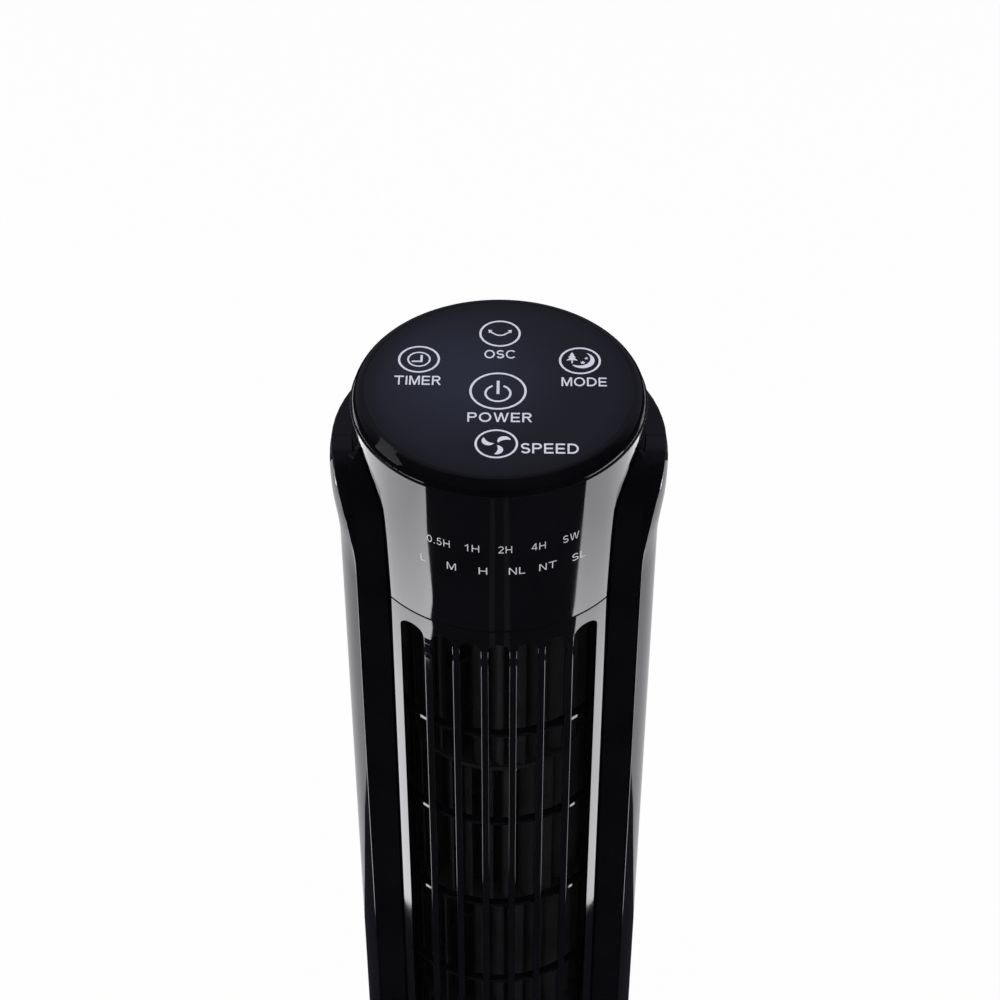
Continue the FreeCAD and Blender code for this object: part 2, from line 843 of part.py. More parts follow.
def motor_plate():
    """Bulkhead between the motor and the air duct."""
    plate = plate_outline(motor_plate_z, plate_h)
    tools = [cyl(shaft_r + 6, 10, motor_plate_z - 2, 0, fan_y)]
    tools += drilled(grommet_points(), 4.5, motor_plate_z - 2, 10)
    return one(plate.cut(tools))


# ---------------------------------------------------------------- impeller and duct
def blade_face(z):
    """Section of one forward-curved blade, an arc strip between two radii."""
    outer = impeller_r - 0.4
    inner = impeller_r * blade_inner
    lead = math.radians(9.0)
    p_out = Vector(outer * math.cos(lead), outer * math.sin(lead), z)
    p_in = Vector(inner, 0, z)
    chord = p_out - p_in
    normal = Vector(-chord.y, chord.x, 0)
    normal.normalize()
    mid = (p_out + p_in) * 0.5 - normal * (chord.Length * 0.16)
    shift = normal * blade_t
    side_a = Part.Arc(p_in, mid, p_out).toShape()
    side_b = Part.Arc(p_out + shift, mid + shift, p_in + shift).toShape()
    edges = [side_a, line(p_out, p_out + shift), side_b, line(p_in + shift, p_in)]
    return Part.Face(Part.Wire(edges))


def impeller():
    """Cross-flow rotor: thin dividing discs with a ring of curved blades between each pair."""
    span = (impeller_top - impeller_z - disc_t) / impeller_sections
    solids = []
    for i in range(impeller_sections + 1):
        z = impeller_z + i * span
        end = i in (0, impeller_sections)
        disc = cyl(impeller_r, disc_t, z) if end else ring(impeller_r, impeller_r * 0.72, disc_t, z)
        solids.append(disc)
    for i in range(impeller_sections):
        z = impeller_z + i * span + disc_t / 2
        for k in range(blade_count):
            blade = blade_face(z).extrude(Vector(0, 0, span))
            turn = 360 / blade_count * (k + 0.5 * (i % 2))
            blade.rotate(Vector(0, 0, 0), Vector(0, 0, 1), turn)
            solids.append(blade)
    solids.append(cyl(9.0, 14.0, impeller_z))
    solids.append(cyl(9.0, 14.0, impeller_top - 14.0))
    body = solids[0].multiFuse(solids[1:])
    body = body.cut([cyl(shaft_r, 12.3, impeller_z), cyl(pin_r, 12.0, impeller_top - 12.0)])
    body = body.cut(Part.makeCylinder(1.6, 12, Vector(0, 0, impeller_z + 7), Vector(1, 0, 0)))
    body.translate(Vector(0, fan_y, 0))
    return one(body)


def grub_screw():
    """Set screw that clamps the impeller's hub on the motor shaft."""
    start = Vector(shaft_r + 0.05, fan_y, impeller_z + 7)
    return Part.makeCylinder(1.55, 5.0, start, Vector(1, 0, 0)).Solids[0]


def impeller_pin():
    low = impeller_top - 12.0
    return cyl(pin_r, upper_plate_top + 4.0 - low, low, 0, fan_y).Solids[0]


def upper_bush():
    return ring(6.0, pin_r + fit, 8.0, upper_plate_z - 2.0, 0, fan_y).Solids[0]


def bush_holder():
    """Rubber ring that carries the upper bush and damps it."""
    spool = turned_points([(6.0, upper_plate_z - 2), (11.0, upper_plate_z - 2), (11.0, upper_plate_z),
                           (9.0, upper_plate_z), (9.0, upper_plate_top), (11.0, upper_plate_top),
                           (11.0, upper_plate_top + 2.5), (6.0, upper_plate_top + 2.5)])
    spool.translate(Vector(0, fan_y, 0))
    return one(spool)


def tangent_point(centre, radius, target, side):
    """Point where a straight line from target touches a circle, on the given side."""
    dx = target[0] - centre[0]
    dy = target[1] - centre[1]
    distance = math.hypot(dx, dy)
    turn = math.atan2(dy, dx) + side * math.acos(radius / distance)
    return (centre[0] + radius * math.cos(turn), centre[1] + radius * math.sin(turn), turn)


def duct_height():
    return upper_plate_z - motor_plate_top


def behind_cheeks():
    return block(-far, far, -(cheek_back - seat), far, 0, fan_height)


def duct_scroll():
    """Rear guide wall: an arc round the impeller that opens into a straight run to the front."""
    centre = (-3.0, fan_y + 1.0)
    radius = impeller_r + 7.0
    target = (-slot_edge, -cheek_back)
    x1, y1, end = tangent_point(centre, radius, target, -1)
    start = math.radians(118.0)
    end = end % (2 * math.pi)
    outer = radius + duct_wall
    along = Vector(target[0] - x1, target[1] - y1, 0)
    across = Vector(math.cos(end), math.sin(end), 0) * duct_wall
    middle = (start + end) / 2

    def at(r, turn):
        return Vector(centre[0] + r * math.cos(turn), centre[1] + r * math.sin(turn), 0)

    inner_end = at(radius, end)
    outer_end = inner_end + across
    edges = [
        Part.Arc(at(radius, start), at(radius, middle), inner_end).toShape(),
        line(inner_end, inner_end + along),
        line(inner_end + along, outer_end + along),
        line(outer_end + along, outer_end),
        Part.Arc(outer_end, at(outer, middle), at(outer, start)).toShape(),
        line(at(outer, start), at(radius, start)),
    ]
    wallpiece = Part.Face(Part.Wire(edges)).extrude(Vector(0, 0, duct_height()))
    wallpiece.translate(Vector(0, 0, motor_plate_top))
    return one(wallpiece.common(behind_cheeks()))


def duct_tongue():
    """Vortex wall: two straight runs that meet in a round nose close to the impeller."""
    nose_r = 2.0
    nose_turn = math.radians(-18.0)
    reach = impeller_r + tongue_gap + nose_r
    nose = (reach * math.cos(nose_turn), fan_y + reach * math.sin(nose_turn))
    front = (slot_edge + duct_wall, -cheek_back)
    back = (housing_screw_x() - boss_r - seat - duct_wall, fan_y + 14.0)
    xf, yf, turn_f = tangent_point(nose, nose_r, front, -1)
    xb, yb, turn_b = tangent_point(nose, nose_r, back, 1)
    sf = Vector(math.cos(turn_f), math.sin(turn_f), 0) * duct_wall
    sb = Vector(math.cos(turn_b), math.sin(turn_b), 0) * duct_wall
    tip_f = Vector(front[0], front[1], 0)
    tip_b = Vector(back[0], back[1], 0)
    pf = Vector(xf, yf, 0)
    pb = Vector(xb, yb, 0)
    run_f = Part.Face(polygon([pf, tip_f, tip_f - sf, pf - sf]))
    run_b = Part.Face(polygon([pb, tip_b, tip_b - sb, pb - sb]))
    body = run_f.extrude(Vector(0, 0, duct_height())).fuse(run_b.extrude(Vector(0, 0, duct_height())))
    body = body.fuse(cyl(nose_r, duct_height(), 0, nose[0], nose[1]))
    body.translate(Vector(0, 0, motor_plate_top))
    return one(body.common(behind_cheeks()))


# ---------------------------------------------------------------- grille
def rounded_slot(x0, x1, z0, z1):
    """Slot cutter through the front along Y, with half round ends beyond z0 and z1."""
    y0 = -(front_r + 10)
    r = (x1 - x0) / 2
    body = block(x0, x1, y0, -20, z0, z1)
    ends = [Part.makeCylinder(r, -20 - y0, Vector(x0 + r, y0, z), Vector(0, 1, 0)) for z in (z0, z1)]
    return body.fuse(ends).removeSplitter()


def slot_spans():
    """Left and right edge of each slot in X."""
    bars = [(i - (bar_count - 1) / 2) * bar_pitch for i in range(bar_count)]
    edges = [-slot_edge]
    for x in bars:
        edges += [x - bar_w / 2, x + bar_w / 2]
    edges.append(slot_edge)
    return [(edges[2 * i], edges[2 * i + 1]) for i in range(bar_count + 1)]


def window():
    """Everything the skin gives up: the slots with their round ends, and the room of the bars."""
    cuts = [rounded_slot(a, b, slot_low, slot_high) for a, b in slot_spans()]
    room = block(-slot_edge, slot_edge, -(front_r + 10), -20, slot_low, slot_high)
    return room.fuse(cuts).removeSplitter()


def grille_skin():
    """Curved front face, between two radial ends, with its window cut out."""
    inner = front_r - grille_wall
    half_turn = math.degrees(math.acos((front_plane - wall - seat - ear_t) / inner))
    section = Part.Face(Part.Wire([
        line((inner, 0, grille_z), (front_r, 0, grille_z)),
        line((front_r, 0, grille_z), (front_r, 0, grille_top - seam_edge)),
        edge_arc(front_r, grille_top, seam_edge, 1),
        line((front_r - seam_edge, 0, grille_top), (inner, 0, grille_top)),
        line((inner, 0, grille_top), (inner, 0, grille_z)),
    ]))
    section.rotate(Vector(0, 0, 0), Vector(0, 0, 1), -90 - half_turn)
    return section.revolve(Vector(0, 0, 0), Vector(0, 0, 1), 2 * half_turn).cut(window())


def bar(x):
    """Upright bar whose rounded front eases back behind the skin, in an S at both ends."""
    slope = x / math.sqrt(front_r ** 2 - x ** 2)
    y = -math.sqrt(front_r ** 2 - x ** 2) - slope * bar_w / 2
    y_back = -math.sqrt(bar_back_r ** 2 - x ** 2) - slope * bar_w / 2
    step = bar_recess * math.sqrt(1 + slope ** 2)
    left = x - bar_w / 2
    grip = 0.8
    reach = 3.0

    def ease(z, h):
        points = [(0, 0), (step / 8, h / 4), (step / 2, h / 2), (step * 7 / 8, h * 3 / 4), (step, h)]
        a, b, c, d, e = [(left, y + back, z + up) for back, up in points]
        return [arc(a, b, c), arc(c, d, e)]

    low = slot_low
    high = slot_high
    edges = ease(high, -scoop_height) + ease(low, scoop_height)
    edges += [
        line((left, y + step, high - scoop_height), (left, y + step, low + scoop_height)),
        line((left, y, high), (left, y + grip, high)),
        line((left, y + grip, high), (left, y + grip, high + reach)),
        line((left, y + grip, high + reach), (left, y_back, high + reach)),
        line((left, y_back, high + reach), (left, y_back, low - reach)),
        line((left, y_back, low - reach), (left, y + grip, low - reach)),
        line((left, y + grip, low - reach), (left, y + grip, low)),
        line((left, y + grip, low), (left, y, low)),
    ]
    side = Part.Face(Part.Wire(Part.sortEdges(edges)[0]))
    body = side.extrude(Vector(bar_w, bar_w * slope, 0))
    front = []
    for edge in body.Edges:
        a, b = [v.Point for v in edge.Vertexes]
        sheared = y + slope * (a.x - left)
        if abs(a.x - b.x) < 0.001 and abs(a.z - b.z) > 1 and max(a.y, b.y) < sheared + step + 0.001:
            if low - 0.001 < min(a.z, b.z) and max(a.z, b.z) < high + 0.001:
                front.append(edge)
    return body.makeFillet(bar_round, front)


def front_grille():
    """Curved front with seven slots between six recessed bars, and thin ribs behind the bars."""
    ear_y = -front_plane + wall + seat
    inner = front_r - grille_wall
    edge_x = math.sqrt(inner ** 2 - (ear_y + ear_t) ** 2)
    ears = [block(min(s * edge_x, s * (edge_x + 7)), max(s * edge_x, s * (edge_x + 7)),
                  ear_y, ear_y + ear_t, grille_z + 6, grille_top - 30) for s in (-1, 1)]
    bars = [bar((i - (bar_count - 1) / 2) * bar_pitch) for i in range(bar_count)]
    span_z = slot_low - outer_slot_w / 2 - 2
    full = cyl(front_r - 1.2, slot_high + outer_slot_w / 2 + 1 - span_z, span_z)
    cheeks = [full.common(block(min(s * slot_edge, s * (slot_edge + cheek_t)),
                                max(s * slot_edge, s * (slot_edge + cheek_t)),
                                -100, -cheek_back, 0, fan_height)) for s in (-1, 1)]
    ribs = []
    count = int((slot_high - slot_low) / rib_pitch)
    for i in range(1, count + 1):
        rib = ring(bar_back_r + 3.5, bar_back_r, rib_h, slot_high - i * rib_pitch)
        reach = slot_edge + cheek_t / 2
        ribs.append(rib.common(block(-reach, reach, -100, -cheek_back, 0, fan_height)))
    return one(grille_skin().fuse(ears + bars + cheeks + ribs))


# ---------------------------------------------------------------- head
def head_cone(inset, z0, z1):
    """Slightly tapered round of the head between two heights."""
    rate = (head_top_r - front_r) / (cap_z - seam_z)
    r0 = front_r + (z0 - seam_z) * rate - inset
    r1 = front_r + (z1 - seam_z) * rate - inset
    return Part.makeCone(r0, r1, z1 - z0, Vector(0, 0, z0))


def edge_arc(radius, z, r, way):
    """Quarter round of an outer edge at (radius, z), in the XZ plane; way 1 for an upper edge."""
    bend = r * (1 - math.sqrt(0.5))
    low = (radius, 0, z - way * r)
    mid = (radius - bend, 0, z - way * bend)
    return arc(low, mid, (radius - r, 0, z)) if way > 0 else arc((radius - r, 0, z), mid, low)


def spigot_r():
    return front_r - grille_wall - seat


def upper_plate():
    """Bulkhead above the air duct with the ring that carries the head."""
    front_edge = -front_plane + wall + 2 * seat + ear_t
    plate = plate_outline(upper_plate_z, plate_h).common(block(-far, far, front_edge, far, 0, fan_height))
    plate = plate.fuse(cyl(front_r - grille_wall - seat, plate_h, upper_plate_z))
    collar = ring(spigot_r(), spigot_r() - wall, spigot_ring_h, upper_plate_top - 0.01)
    bosses = [cyl(boss_r, spigot_ring_h, upper_plate_top - 0.01, x, y) for x, y in head_screw_points()]
    posts = [cyl(3.0, mains_lift, upper_plate_top - 0.01, x, y) for x, y in mains_points()]
    body = plate.fuse([collar] + bosses + posts)
    tools = [cyl(9.0, 20, upper_plate_z - 5, 0, fan_y)]
    tools += drilled(head_screw_points(), screw_r, upper_plate_top + spigot_ring_h - 9, 12)
    tools += drilled(mains_points(), screw_r, upper_plate_top + mains_lift - 7, 12)
    return one(body.cut(tools))


def head_screw_points():
    return [polar(spigot_r() - boss_r, a) for a in (0, 90, 180, 270)]


def head_shell():
    """Round of the head, with an inner flange that stands on the upper plate's ring."""
    skin = turned(Part.Wire([
        line((0, 0, seam_z), (front_r - seam_edge, 0, seam_z)),
        edge_arc(front_r, seam_z, seam_edge, -1),
        line((front_r, 0, seam_z + seam_edge), (head_top_r, 0, cap_z - head_edge)),
        edge_arc(head_top_r, cap_z, head_edge, 1),
        line((head_top_r - head_edge, 0, cap_z), (0, 0, cap_z)),
        line((0, 0, cap_z), (0, 0, seam_z)),
    ]))
    skin = skin.cut(head_cone(wall, seam_z - 1, cap_z + 1))
    flange_z0 = upper_plate_top + spigot_ring_h
    flange = head_cone(wall - 0.2, flange_z0, flange_z0 + 2).cut(cyl(spigot_r() - 8.5, 10, flange_z0 - 2))
    body = skin.fuse(flange)
    return one(body.cut(drilled(head_screw_points(), screw_r + 0.2, flange_z0 - 2, 8)))


def head_screws():
    z = upper_plate_top + spigot_ring_h + 2
    return group([screw(x, y, z, 9.0) for x, y in head_screw_points()])


def cap_outline():
    """Half section of the cap: deck, raised edge round the film, rounded rim, spigot."""
    top = fan_height
    pocket = film_r + 0.15
    edge = pocket + 0.4
    spig = head_top_r - wall - seat
    deck = top - film_t
    edges = [
        line((0, 0, deck), (pocket, 0, deck)),
        line((pocket, 0, deck), (pocket, 0, top)),
        line((pocket, 0, top), (edge, 0, top)),
        quarter((edge, 0, cap_z), (0, 0, cap_drop), (cap_r - edge, 0, 0)),
        line((cap_r, 0, cap_z), (spig, 0, cap_z)),
        line((spig, 0, cap_z), (spig, 0, cap_z - spigot_h)),
        line((spig, 0, cap_z - spigot_h), (spig - 2, 0, cap_z - spigot_h)),
        line((spig - 2, 0, cap_z - spigot_h), (spig - 2, 0, cap_z)),
        line((spig - 2, 0, cap_z), (pocket - 2.5, 0, deck - deck_t)),
        line((pocket - 2.5, 0, deck - deck_t), (0, 0, deck - deck_t)),
        line((0, 0, deck - deck_t), (0, 0, deck)),
    ]
    return Part.Wire(Part.sortEdges(edges)[0])


def board_post_points():
    return [polar(board_post_ring, a) for a in board_post_angles]


def top_cap():
    deck_low = fan_height - film_t - deck_t
    body = turned(cap_outline())
    posts = [cyl(boss_r - 0.5, deck_low - board_z + 0.1, board_z, x, y) for x, y in board_post_points()]
    body = body.fuse(posts)
    tools = [cyl(r - key_inset + key_gap, 10, deck_low - 5, x, y) for x, y, r in keys.values()]
    tools += drilled(board_post_points(), screw_r, board_z - 1, 7)
    return one(body.cut(tools))


def control_film():
    return cyl(film_r, film_t, fan_height - film_t).Solids[0]


def key(name):
    """Plunger under the film: pad, retaining flange below the deck, stem into its switch."""
    x, y, r = keys[name]
    top = fan_height - film_t - face
    pad = cyl(r - key_inset, key_t + 0.3, top - key_t - 0.3, x, y)
    flange = cyl(r - key_inset + key_flange, 1.0, top - key_t - 0.3, x, y)
    stem = cyl(stem_r, top - key_t - (board_z + switch_h - 1.6), board_z + switch_h - 1.6, x, y)
    return one(pad.fuse([flange, stem]))


def tact_switches():
    half = switch_w / 2
    cans = []
    for x, y, _ in keys.values():
        can = block(x - half, x + half, y - half, y + half, board_z, board_z + switch_h)
        cans.append(can.cut(cyl(stem_r + 0.3, 10, board_z + switch_h - 2.6, x, y)))
    return group(cans)


def control_board():
    board = cyl(board_r, board_t, board_z - board_t)
    board = board.cut(drilled(board_post_points(), screw_r + 0.2, board_z - 5, 10))
    return one(board)


def board_screws():
    return group([screw(x, y, board_z - board_t, 6.5, head_up=False) for x, y in board_post_points()])


def led_places():
    """X of each lamp and its depth below the film, row by row."""
    for drop, angles in led_rows:
        for angle in angles:
            yield front_r * math.sin(math.radians(angle)), drop


def light_box_half():
    return max(x for x, _ in led_places()) + light_box_side


def light_box():
    """Block with one light-tight cell per lamp, close behind the head's front."""
    z0 = fan_height - light_box_bottom
    z1 = fan_height - light_box_top
    body = head_cone(wall + seat, z0, z1)
    half = light_box_half()
    body = body.common(block(-half, half, -100, -light_box_back, z0, z1))
    cells = []
    for x, drop in led_places():
        z = fan_height - drop
        cells.append(block(x - cell_w / 2, x + cell_w / 2, -100, -20, z - cell_w / 2, z + cell_w / 2))
    return one(body.cut(cells))


def display_board():
    z0 = fan_height - light_box_bottom
    z1 = fan_height - light_box_top
    half = light_box_half()
    return block(-half, half, -light_box_back, -light_box_back + board_t, z0, z1)


def display_leds():
    lamps = []
    for x, drop in led_places():
        z = fan_height - drop
        lamps.append(block(x - led_w / 2, x + led_w / 2, -light_box_back - led_h, -light_box_back,
                           z - led_w / 2, z + led_w / 2))
    return group(lamps)


def mains_points():
    x = mains_w / 2 - 5
    y = mains_d / 2 - 5
    return [(sx * x, sy * y + fan_y) for sx in (-1, 1) for sy in (-1, 1)]


def mains_board():
    z = upper_plate_top + mains_lift
    board = block(-mains_w / 2, mains_w / 2, fan_y - mains_d / 2, fan_y + mains_d / 2, z, z + board_t)
    return one(board.cut(drilled(mains_points(), screw_r + 0.2, z - 2, 10)))


def mains_screws():
    z = upper_plate_top + mains_lift + board_t
    return group([screw(x, y, z, 7.0) for x, y in mains_points()])


def mains_parts():
    """Relays, fuse and smoothing capacitor on the mains board."""
    z = upper_plate_top + mains_lift + board_t
    left = -mains_w / 2
    front = fan_y - mains_d / 2
    relays = [block(left + x, left + x + 12, front + 6, front + 22, z, z + 15) for x in (22, 37, 52)]
    smoothing = cyl(6, 14, z, left + 16, front + 38)
    fuse = block(-left - 50, -left - 30, front + 34, front + 40, z, z + 8)
    return group(relays + [smoothing, fuse])


def run_capacitor():
    """Capacitor of the fan motor's auxiliary winding, on the mains board."""
    z = upper_plate_top + mains_lift + board_t
    right = mains_w / 2
    back = fan_y + mains_d / 2
    return block(right - 25, right - 11, back - 28, back - 6, z, z + 20)


# ---------------------------------------------------------------- output
def nodes():
    made = {
        "base_cover": base_cover,
        "base_plate": base_plate,
        "rubber_feet": rubber_feet,
        "base_screws": base_screws,
        "cord_gland": cord_gland,
        "swing_sector": swing_sector,
        "swing_post": swing_post,
        "post_screws": post_screws,
        "thrust_washers": thrust_washers,
        "post_nut": post_nut,
        "turntable": turntable,
        "swing_motor": swing_motor,
        "swing_motor_screws": swing_motor_screws,
        "swing_shaft": swing_shaft,
        "swing_pinion": swing_pinion,
        "front_frame": front_frame,
        "rear_cover": rear_cover,
        "housing_screws": housing_screws,
        "motor_lower_bell": motor_lower_bell,
        "motor_upper_bell": motor_upper_bell,
        "motor_stator": motor_stator,
        "motor_windings": motor_windings,
        "motor_bushes": motor_bushes,
        "motor_rotor": motor_rotor,
        "motor_shaft": motor_shaft,
        "motor_grommets": motor_grommets,
        "motor_screws": motor_screws,
        "motor_plate": motor_plate,
        "impeller": impeller,
        "grub_screw": grub_screw,
        "impeller_pin": impeller_pin,
        "upper_bush": upper_bush,
        "bush_holder": bush_holder,
        "duct_scroll": duct_scroll,
        "duct_tongue": duct_tongue,
        "front_grille": front_grille,
        "upper_plate": upper_plate,
        "head_shell": head_shell,
        "head_screws": head_screws,
        "top_cap": top_cap,
        "control_film": control_film,
        "tact_switches": tact_switches,
        "control_board": control_board,
        "board_screws": board_screws,
        "light_box": light_box,
        "display_board": display_board,
        "display_leds": display_leds,
        "mains_board": mains_board,
        "mains_screws": mains_screws,
        "mains_parts": mains_parts,
        "run_capacitor": run_capacitor,
    }
    for name, make in made.items():
        yield name, make()
    for name in keys:
        yield name, key(name)


os.makedirs("parts", exist_ok=True)
for node_name, shape in nodes():
    shape.exportStep("parts/" + node_name + ".step")
    print(node_name, len(shape.Solids), round(shape.Volume, 1), shape.isValid())
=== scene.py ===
# %% [markdown]
# # Dressing an oscillating tower fan
#
# The fan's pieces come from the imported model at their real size. This script gives every piece its
# finish, prints the control film and the small legends on the head, and sets up a floor, a few soft
# lamps and the camera. Lengths are metres, +Z is up and the air leaves towards -Y.

# %% Load the frame
import json
import math

import bmesh
import bpy
from mathutils import Matrix, Vector


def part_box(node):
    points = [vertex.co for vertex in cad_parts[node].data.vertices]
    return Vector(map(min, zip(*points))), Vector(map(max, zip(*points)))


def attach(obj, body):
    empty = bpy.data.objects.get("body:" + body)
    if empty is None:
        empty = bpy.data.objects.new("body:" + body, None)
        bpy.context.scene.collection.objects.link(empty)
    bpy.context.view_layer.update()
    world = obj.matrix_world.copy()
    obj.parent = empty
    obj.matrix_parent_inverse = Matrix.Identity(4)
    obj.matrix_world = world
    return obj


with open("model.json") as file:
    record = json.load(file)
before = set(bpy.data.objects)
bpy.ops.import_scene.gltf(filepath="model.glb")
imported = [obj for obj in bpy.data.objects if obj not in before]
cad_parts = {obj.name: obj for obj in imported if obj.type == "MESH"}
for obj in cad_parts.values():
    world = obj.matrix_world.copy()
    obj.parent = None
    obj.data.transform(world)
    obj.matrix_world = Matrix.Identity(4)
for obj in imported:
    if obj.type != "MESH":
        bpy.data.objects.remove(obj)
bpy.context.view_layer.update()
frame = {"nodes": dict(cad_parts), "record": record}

nodes = frame["nodes"]

# %% [markdown]
# ## Sizes read from the frame
#
# Whatever is added has to sit on the real pieces, so its place is read from their boxes. The control
# film gives the top plane, and the head below it gives the round face that the small legends wrap.

# %% Places on the head
MM = 0.001
film_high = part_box("control_film")[1]
head_low, head_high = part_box("head_shell")
film_top = film_high.z
film_radius = film_high.x
head_seam = head_low.z
head_top_radius = head_high.x
print("film at", round(film_top, 4), "radius", round(film_radius, 4))

# %% [markdown]
# ## A start for every material
#
# Each finish is a Principled shader whose colour, roughness and bump come from noise on Object
# coordinates. A piece's object sits at the origin, so the noise is fixed to the piece in metres, and
# `1 / size` turns the size of a speck into the scale of the noise.

# %% Material helpers
NOISE_LOW, NOISE_HIGH = 0.3, 0.7        # most of the noise lies between these values


def start_material(name):
    material = bpy.data.materials.new(name)
    material.use_nodes = True
    tree = material.node_tree
    shader = tree.nodes["Principled BSDF"]
    return material, tree, shader


def object_noise(tree, size, detail, stretch=(1, 1, 1)):
    """Noise value with specks of about `size` metres, drawn out along the axes by `stretch`."""
    place = tree.nodes.new("ShaderNodeTexCoord")
    mapping = tree.nodes.new("ShaderNodeMapping")
    mapping.inputs["Scale"].default_value = stretch
    noise = tree.nodes.new("ShaderNodeTexNoise")
    noise.inputs["Scale"].default_value = 1 / size
    noise.inputs["Detail"].default_value = detail
    tree.links.new(place.outputs["Object"], mapping.inputs["Vector"])
    tree.links.new(mapping.outputs["Vector"], noise.inputs["Vector"])
    return noise.outputs["Fac"]


def ramp(tree, value, stops):
    """Colour ramp with (position, colour) stops."""
    node = tree.nodes.new("ShaderNodeValToRGB")
    elements = node.color_ramp.elements
    while len(elements) < len(stops):
        elements.new(0.5)
    for element, (position, colour) in zip(elements, stops):
        element.position = position
        element.color = (*colour, 1)
    tree.links.new(value, node.inputs["Fac"])
    return node.outputs["Color"]


def two_tones(tree, noise, dark, light):
    """Colour that goes from dark to light over the usual range of the noise."""
    return ramp(tree, noise, [(NOISE_LOW, dark), (NOISE_HIGH, light)])


def map_range(tree, value, span, values):
    """Node whose result goes from values[0] to values[1] while `value` crosses the span."""
    node = tree.nodes.new("ShaderNodeMapRange")
    for socket, number in zip(("From Min", "From Max", "To Min", "To Max"), (*span, *values)):
        node.inputs[socket].default_value = number
    tree.links.new(value, node.inputs["Value"])
    return node


def spread(tree, noise, low, high):
    """Value that goes from low to high over the usual range of the noise."""
    return map_range(tree, noise, (NOISE_LOW, NOISE_HIGH), (low, high)).outputs["Result"]


def bump(tree, shader, value, strength, depth):
    node = tree.nodes.new("ShaderNodeBump")
    node.inputs["Strength"].default_value = strength
    node.inputs["Distance"].default_value = depth
    tree.links.new(value, node.inputs["Height"])
    tree.links.new(node.outputs["Normal"], shader.inputs["Normal"])


# %% [markdown]
# ## High-gloss black housing
#
# The housing, head, cap, grille and base are moulded in gloss black ABS. Three things tell such a
# moulding from black glass: a very faint waviness of the skin, a slight unevenness in how black it is,
# and wiping marks that dull the gloss a little. All three are kept weak, because the long clean
# reflections are what the eye reads first. The head and grille are a smoked grade, a touch lighter, that
# lets the lamps of the display shine through.

# %% Gloss black
def gloss_black(name, dark, light):
    material, tree, shader = start_material(name)
    tone = object_noise(tree, 0.03, 2.0)
    tree.links.new(two_tones(tree, tone, dark, light), shader.inputs["Base Color"])
    wiped = object_noise(tree, 0.012, 4.0, (1, 1, 0.35))
    tree.links.new(spread(tree, wiped, 0.035, 0.075), shader.inputs["Roughness"])
    bump(tree, shader, object_noise(tree, 0.004, 1.0), 0.04, 0.00005)
    shader.inputs["IOR"].default_value = 1.52
    return material


housing_finish = gloss_black("gloss_black", (0.0018, 0.0018, 0.0024), (0.0034, 0.0034, 0.0044))
smoked_finish = gloss_black("smoked_black", (0.0036, 0.0035, 0.0048), (0.0054, 0.0052, 0.0070))
print(housing_finish.name, "and", smoked_finish.name)

# %% [markdown]
# ## Control film
#
# The film is a printed polycarbonate sheet, blue-black and a little less shiny than the cap around it.
# A soft reflection is painted into its colour: the tone is lighter round one point over the middle of
# the board and falls off slowly from there, times another fall-off that darkens it towards the glued
# edge. A very fine grain dulls the gloss.

# %% Film and ink
def fall_off(tree, centre, near, far, values):
    """Value that goes from values[0] at `near` metres from a point to values[1] at `far`."""
    place = tree.nodes.new("ShaderNodeTexCoord")
    distance = tree.nodes.new("ShaderNodeVectorMath")
    distance.operation = "DISTANCE"
    distance.inputs[1].default_value = centre
    tree.links.new(place.outputs["Object"], distance.inputs[0])
    fade = map_range(tree, distance.outputs["Value"], (near, far), values)
    fade.interpolation_type = "SMOOTHSTEP"
    return fade.outputs["Result"]


def combined(tree, operation, first, second):
    """Result of a math operation on two values."""
    node = tree.nodes.new("ShaderNodeMath")
    node.operation = operation
    for socket, value in zip(node.inputs, (first, second)):
        tree.links.new(value, socket)
    return node.outputs["Value"]


def film_black():
    material, tree, shader = start_material("film_blue_black")
    glow_centre, centre = (-0.016, 0.006, film_top), (0, 0, film_top)
    # painted soft reflection: lighter round this point, times a fall-off that darkens the film towards
    # its edge
    middle = fall_off(tree, glow_centre, 0.0, 0.062, (1.0, 0.42))
    edge = fall_off(tree, centre, 0.84 * film_radius, film_radius, (1.0, 0.5))
    painted_glow_tone = combined(tree, "MULTIPLY", middle, edge)
    cloud = spread(tree, object_noise(tree, 0.02, 2.0), 0.93, 1.0)
    glow_edge_and_cloud = combined(tree, "MULTIPLY", painted_glow_tone, cloud)
    colours = ramp(tree, glow_edge_and_cloud, [(0.0, (0.002, 0.002, 0.002)), (0.5, (0.0090, 0.0100, 0.0170)),
                                 (1.0, (0.0205, 0.0235, 0.0420))])
    tree.links.new(colours, shader.inputs["Base Color"])
    grain = object_noise(tree, 0.0006, 2.0)
    tree.links.new(spread(tree, grain, 0.14, 0.20), shader.inputs["Roughness"])
    bump(tree, shader, grain, 0.05, 0.00002)
    shader.inputs["IOR"].default_value = 1.5
    return material


def ink(name, colour, thin_colour):
    material, tree, shader = start_material(name)
    cover = object_noise(tree, 0.0009, 3.0)
    colours = ramp(tree, cover, [(0.30, thin_colour), (0.48, colour)])
    tree.links.new(colours, shader.inputs["Base Color"])
    tree.links.new(spread(tree, cover, 0.5, 0.36), shader.inputs["Roughness"])
    return material


film_finish = film_black()
film_ink = ink("film_ink", (0.76, 0.76, 0.90), (0.66, 0.66, 0.80))
head_ink = ink("head_ink", (0.90, 0.91, 0.94), (0.78, 0.79, 0.82))
print(film_finish.name, film_ink.name, head_ink.name)

# %% [markdown]
# ## Inner mouldings, metals and rubber
#
# The rest is seen through the slots, through the intake at the back, or when the fan is opened. Plain
# mouldings share one recipe with their own colours. Steel parts get drawn streaks, the stator gets the
# fine lines of its stacked sheets, and the windings get the ridges of round wire, with painted shade in
# the grooves between the wires.

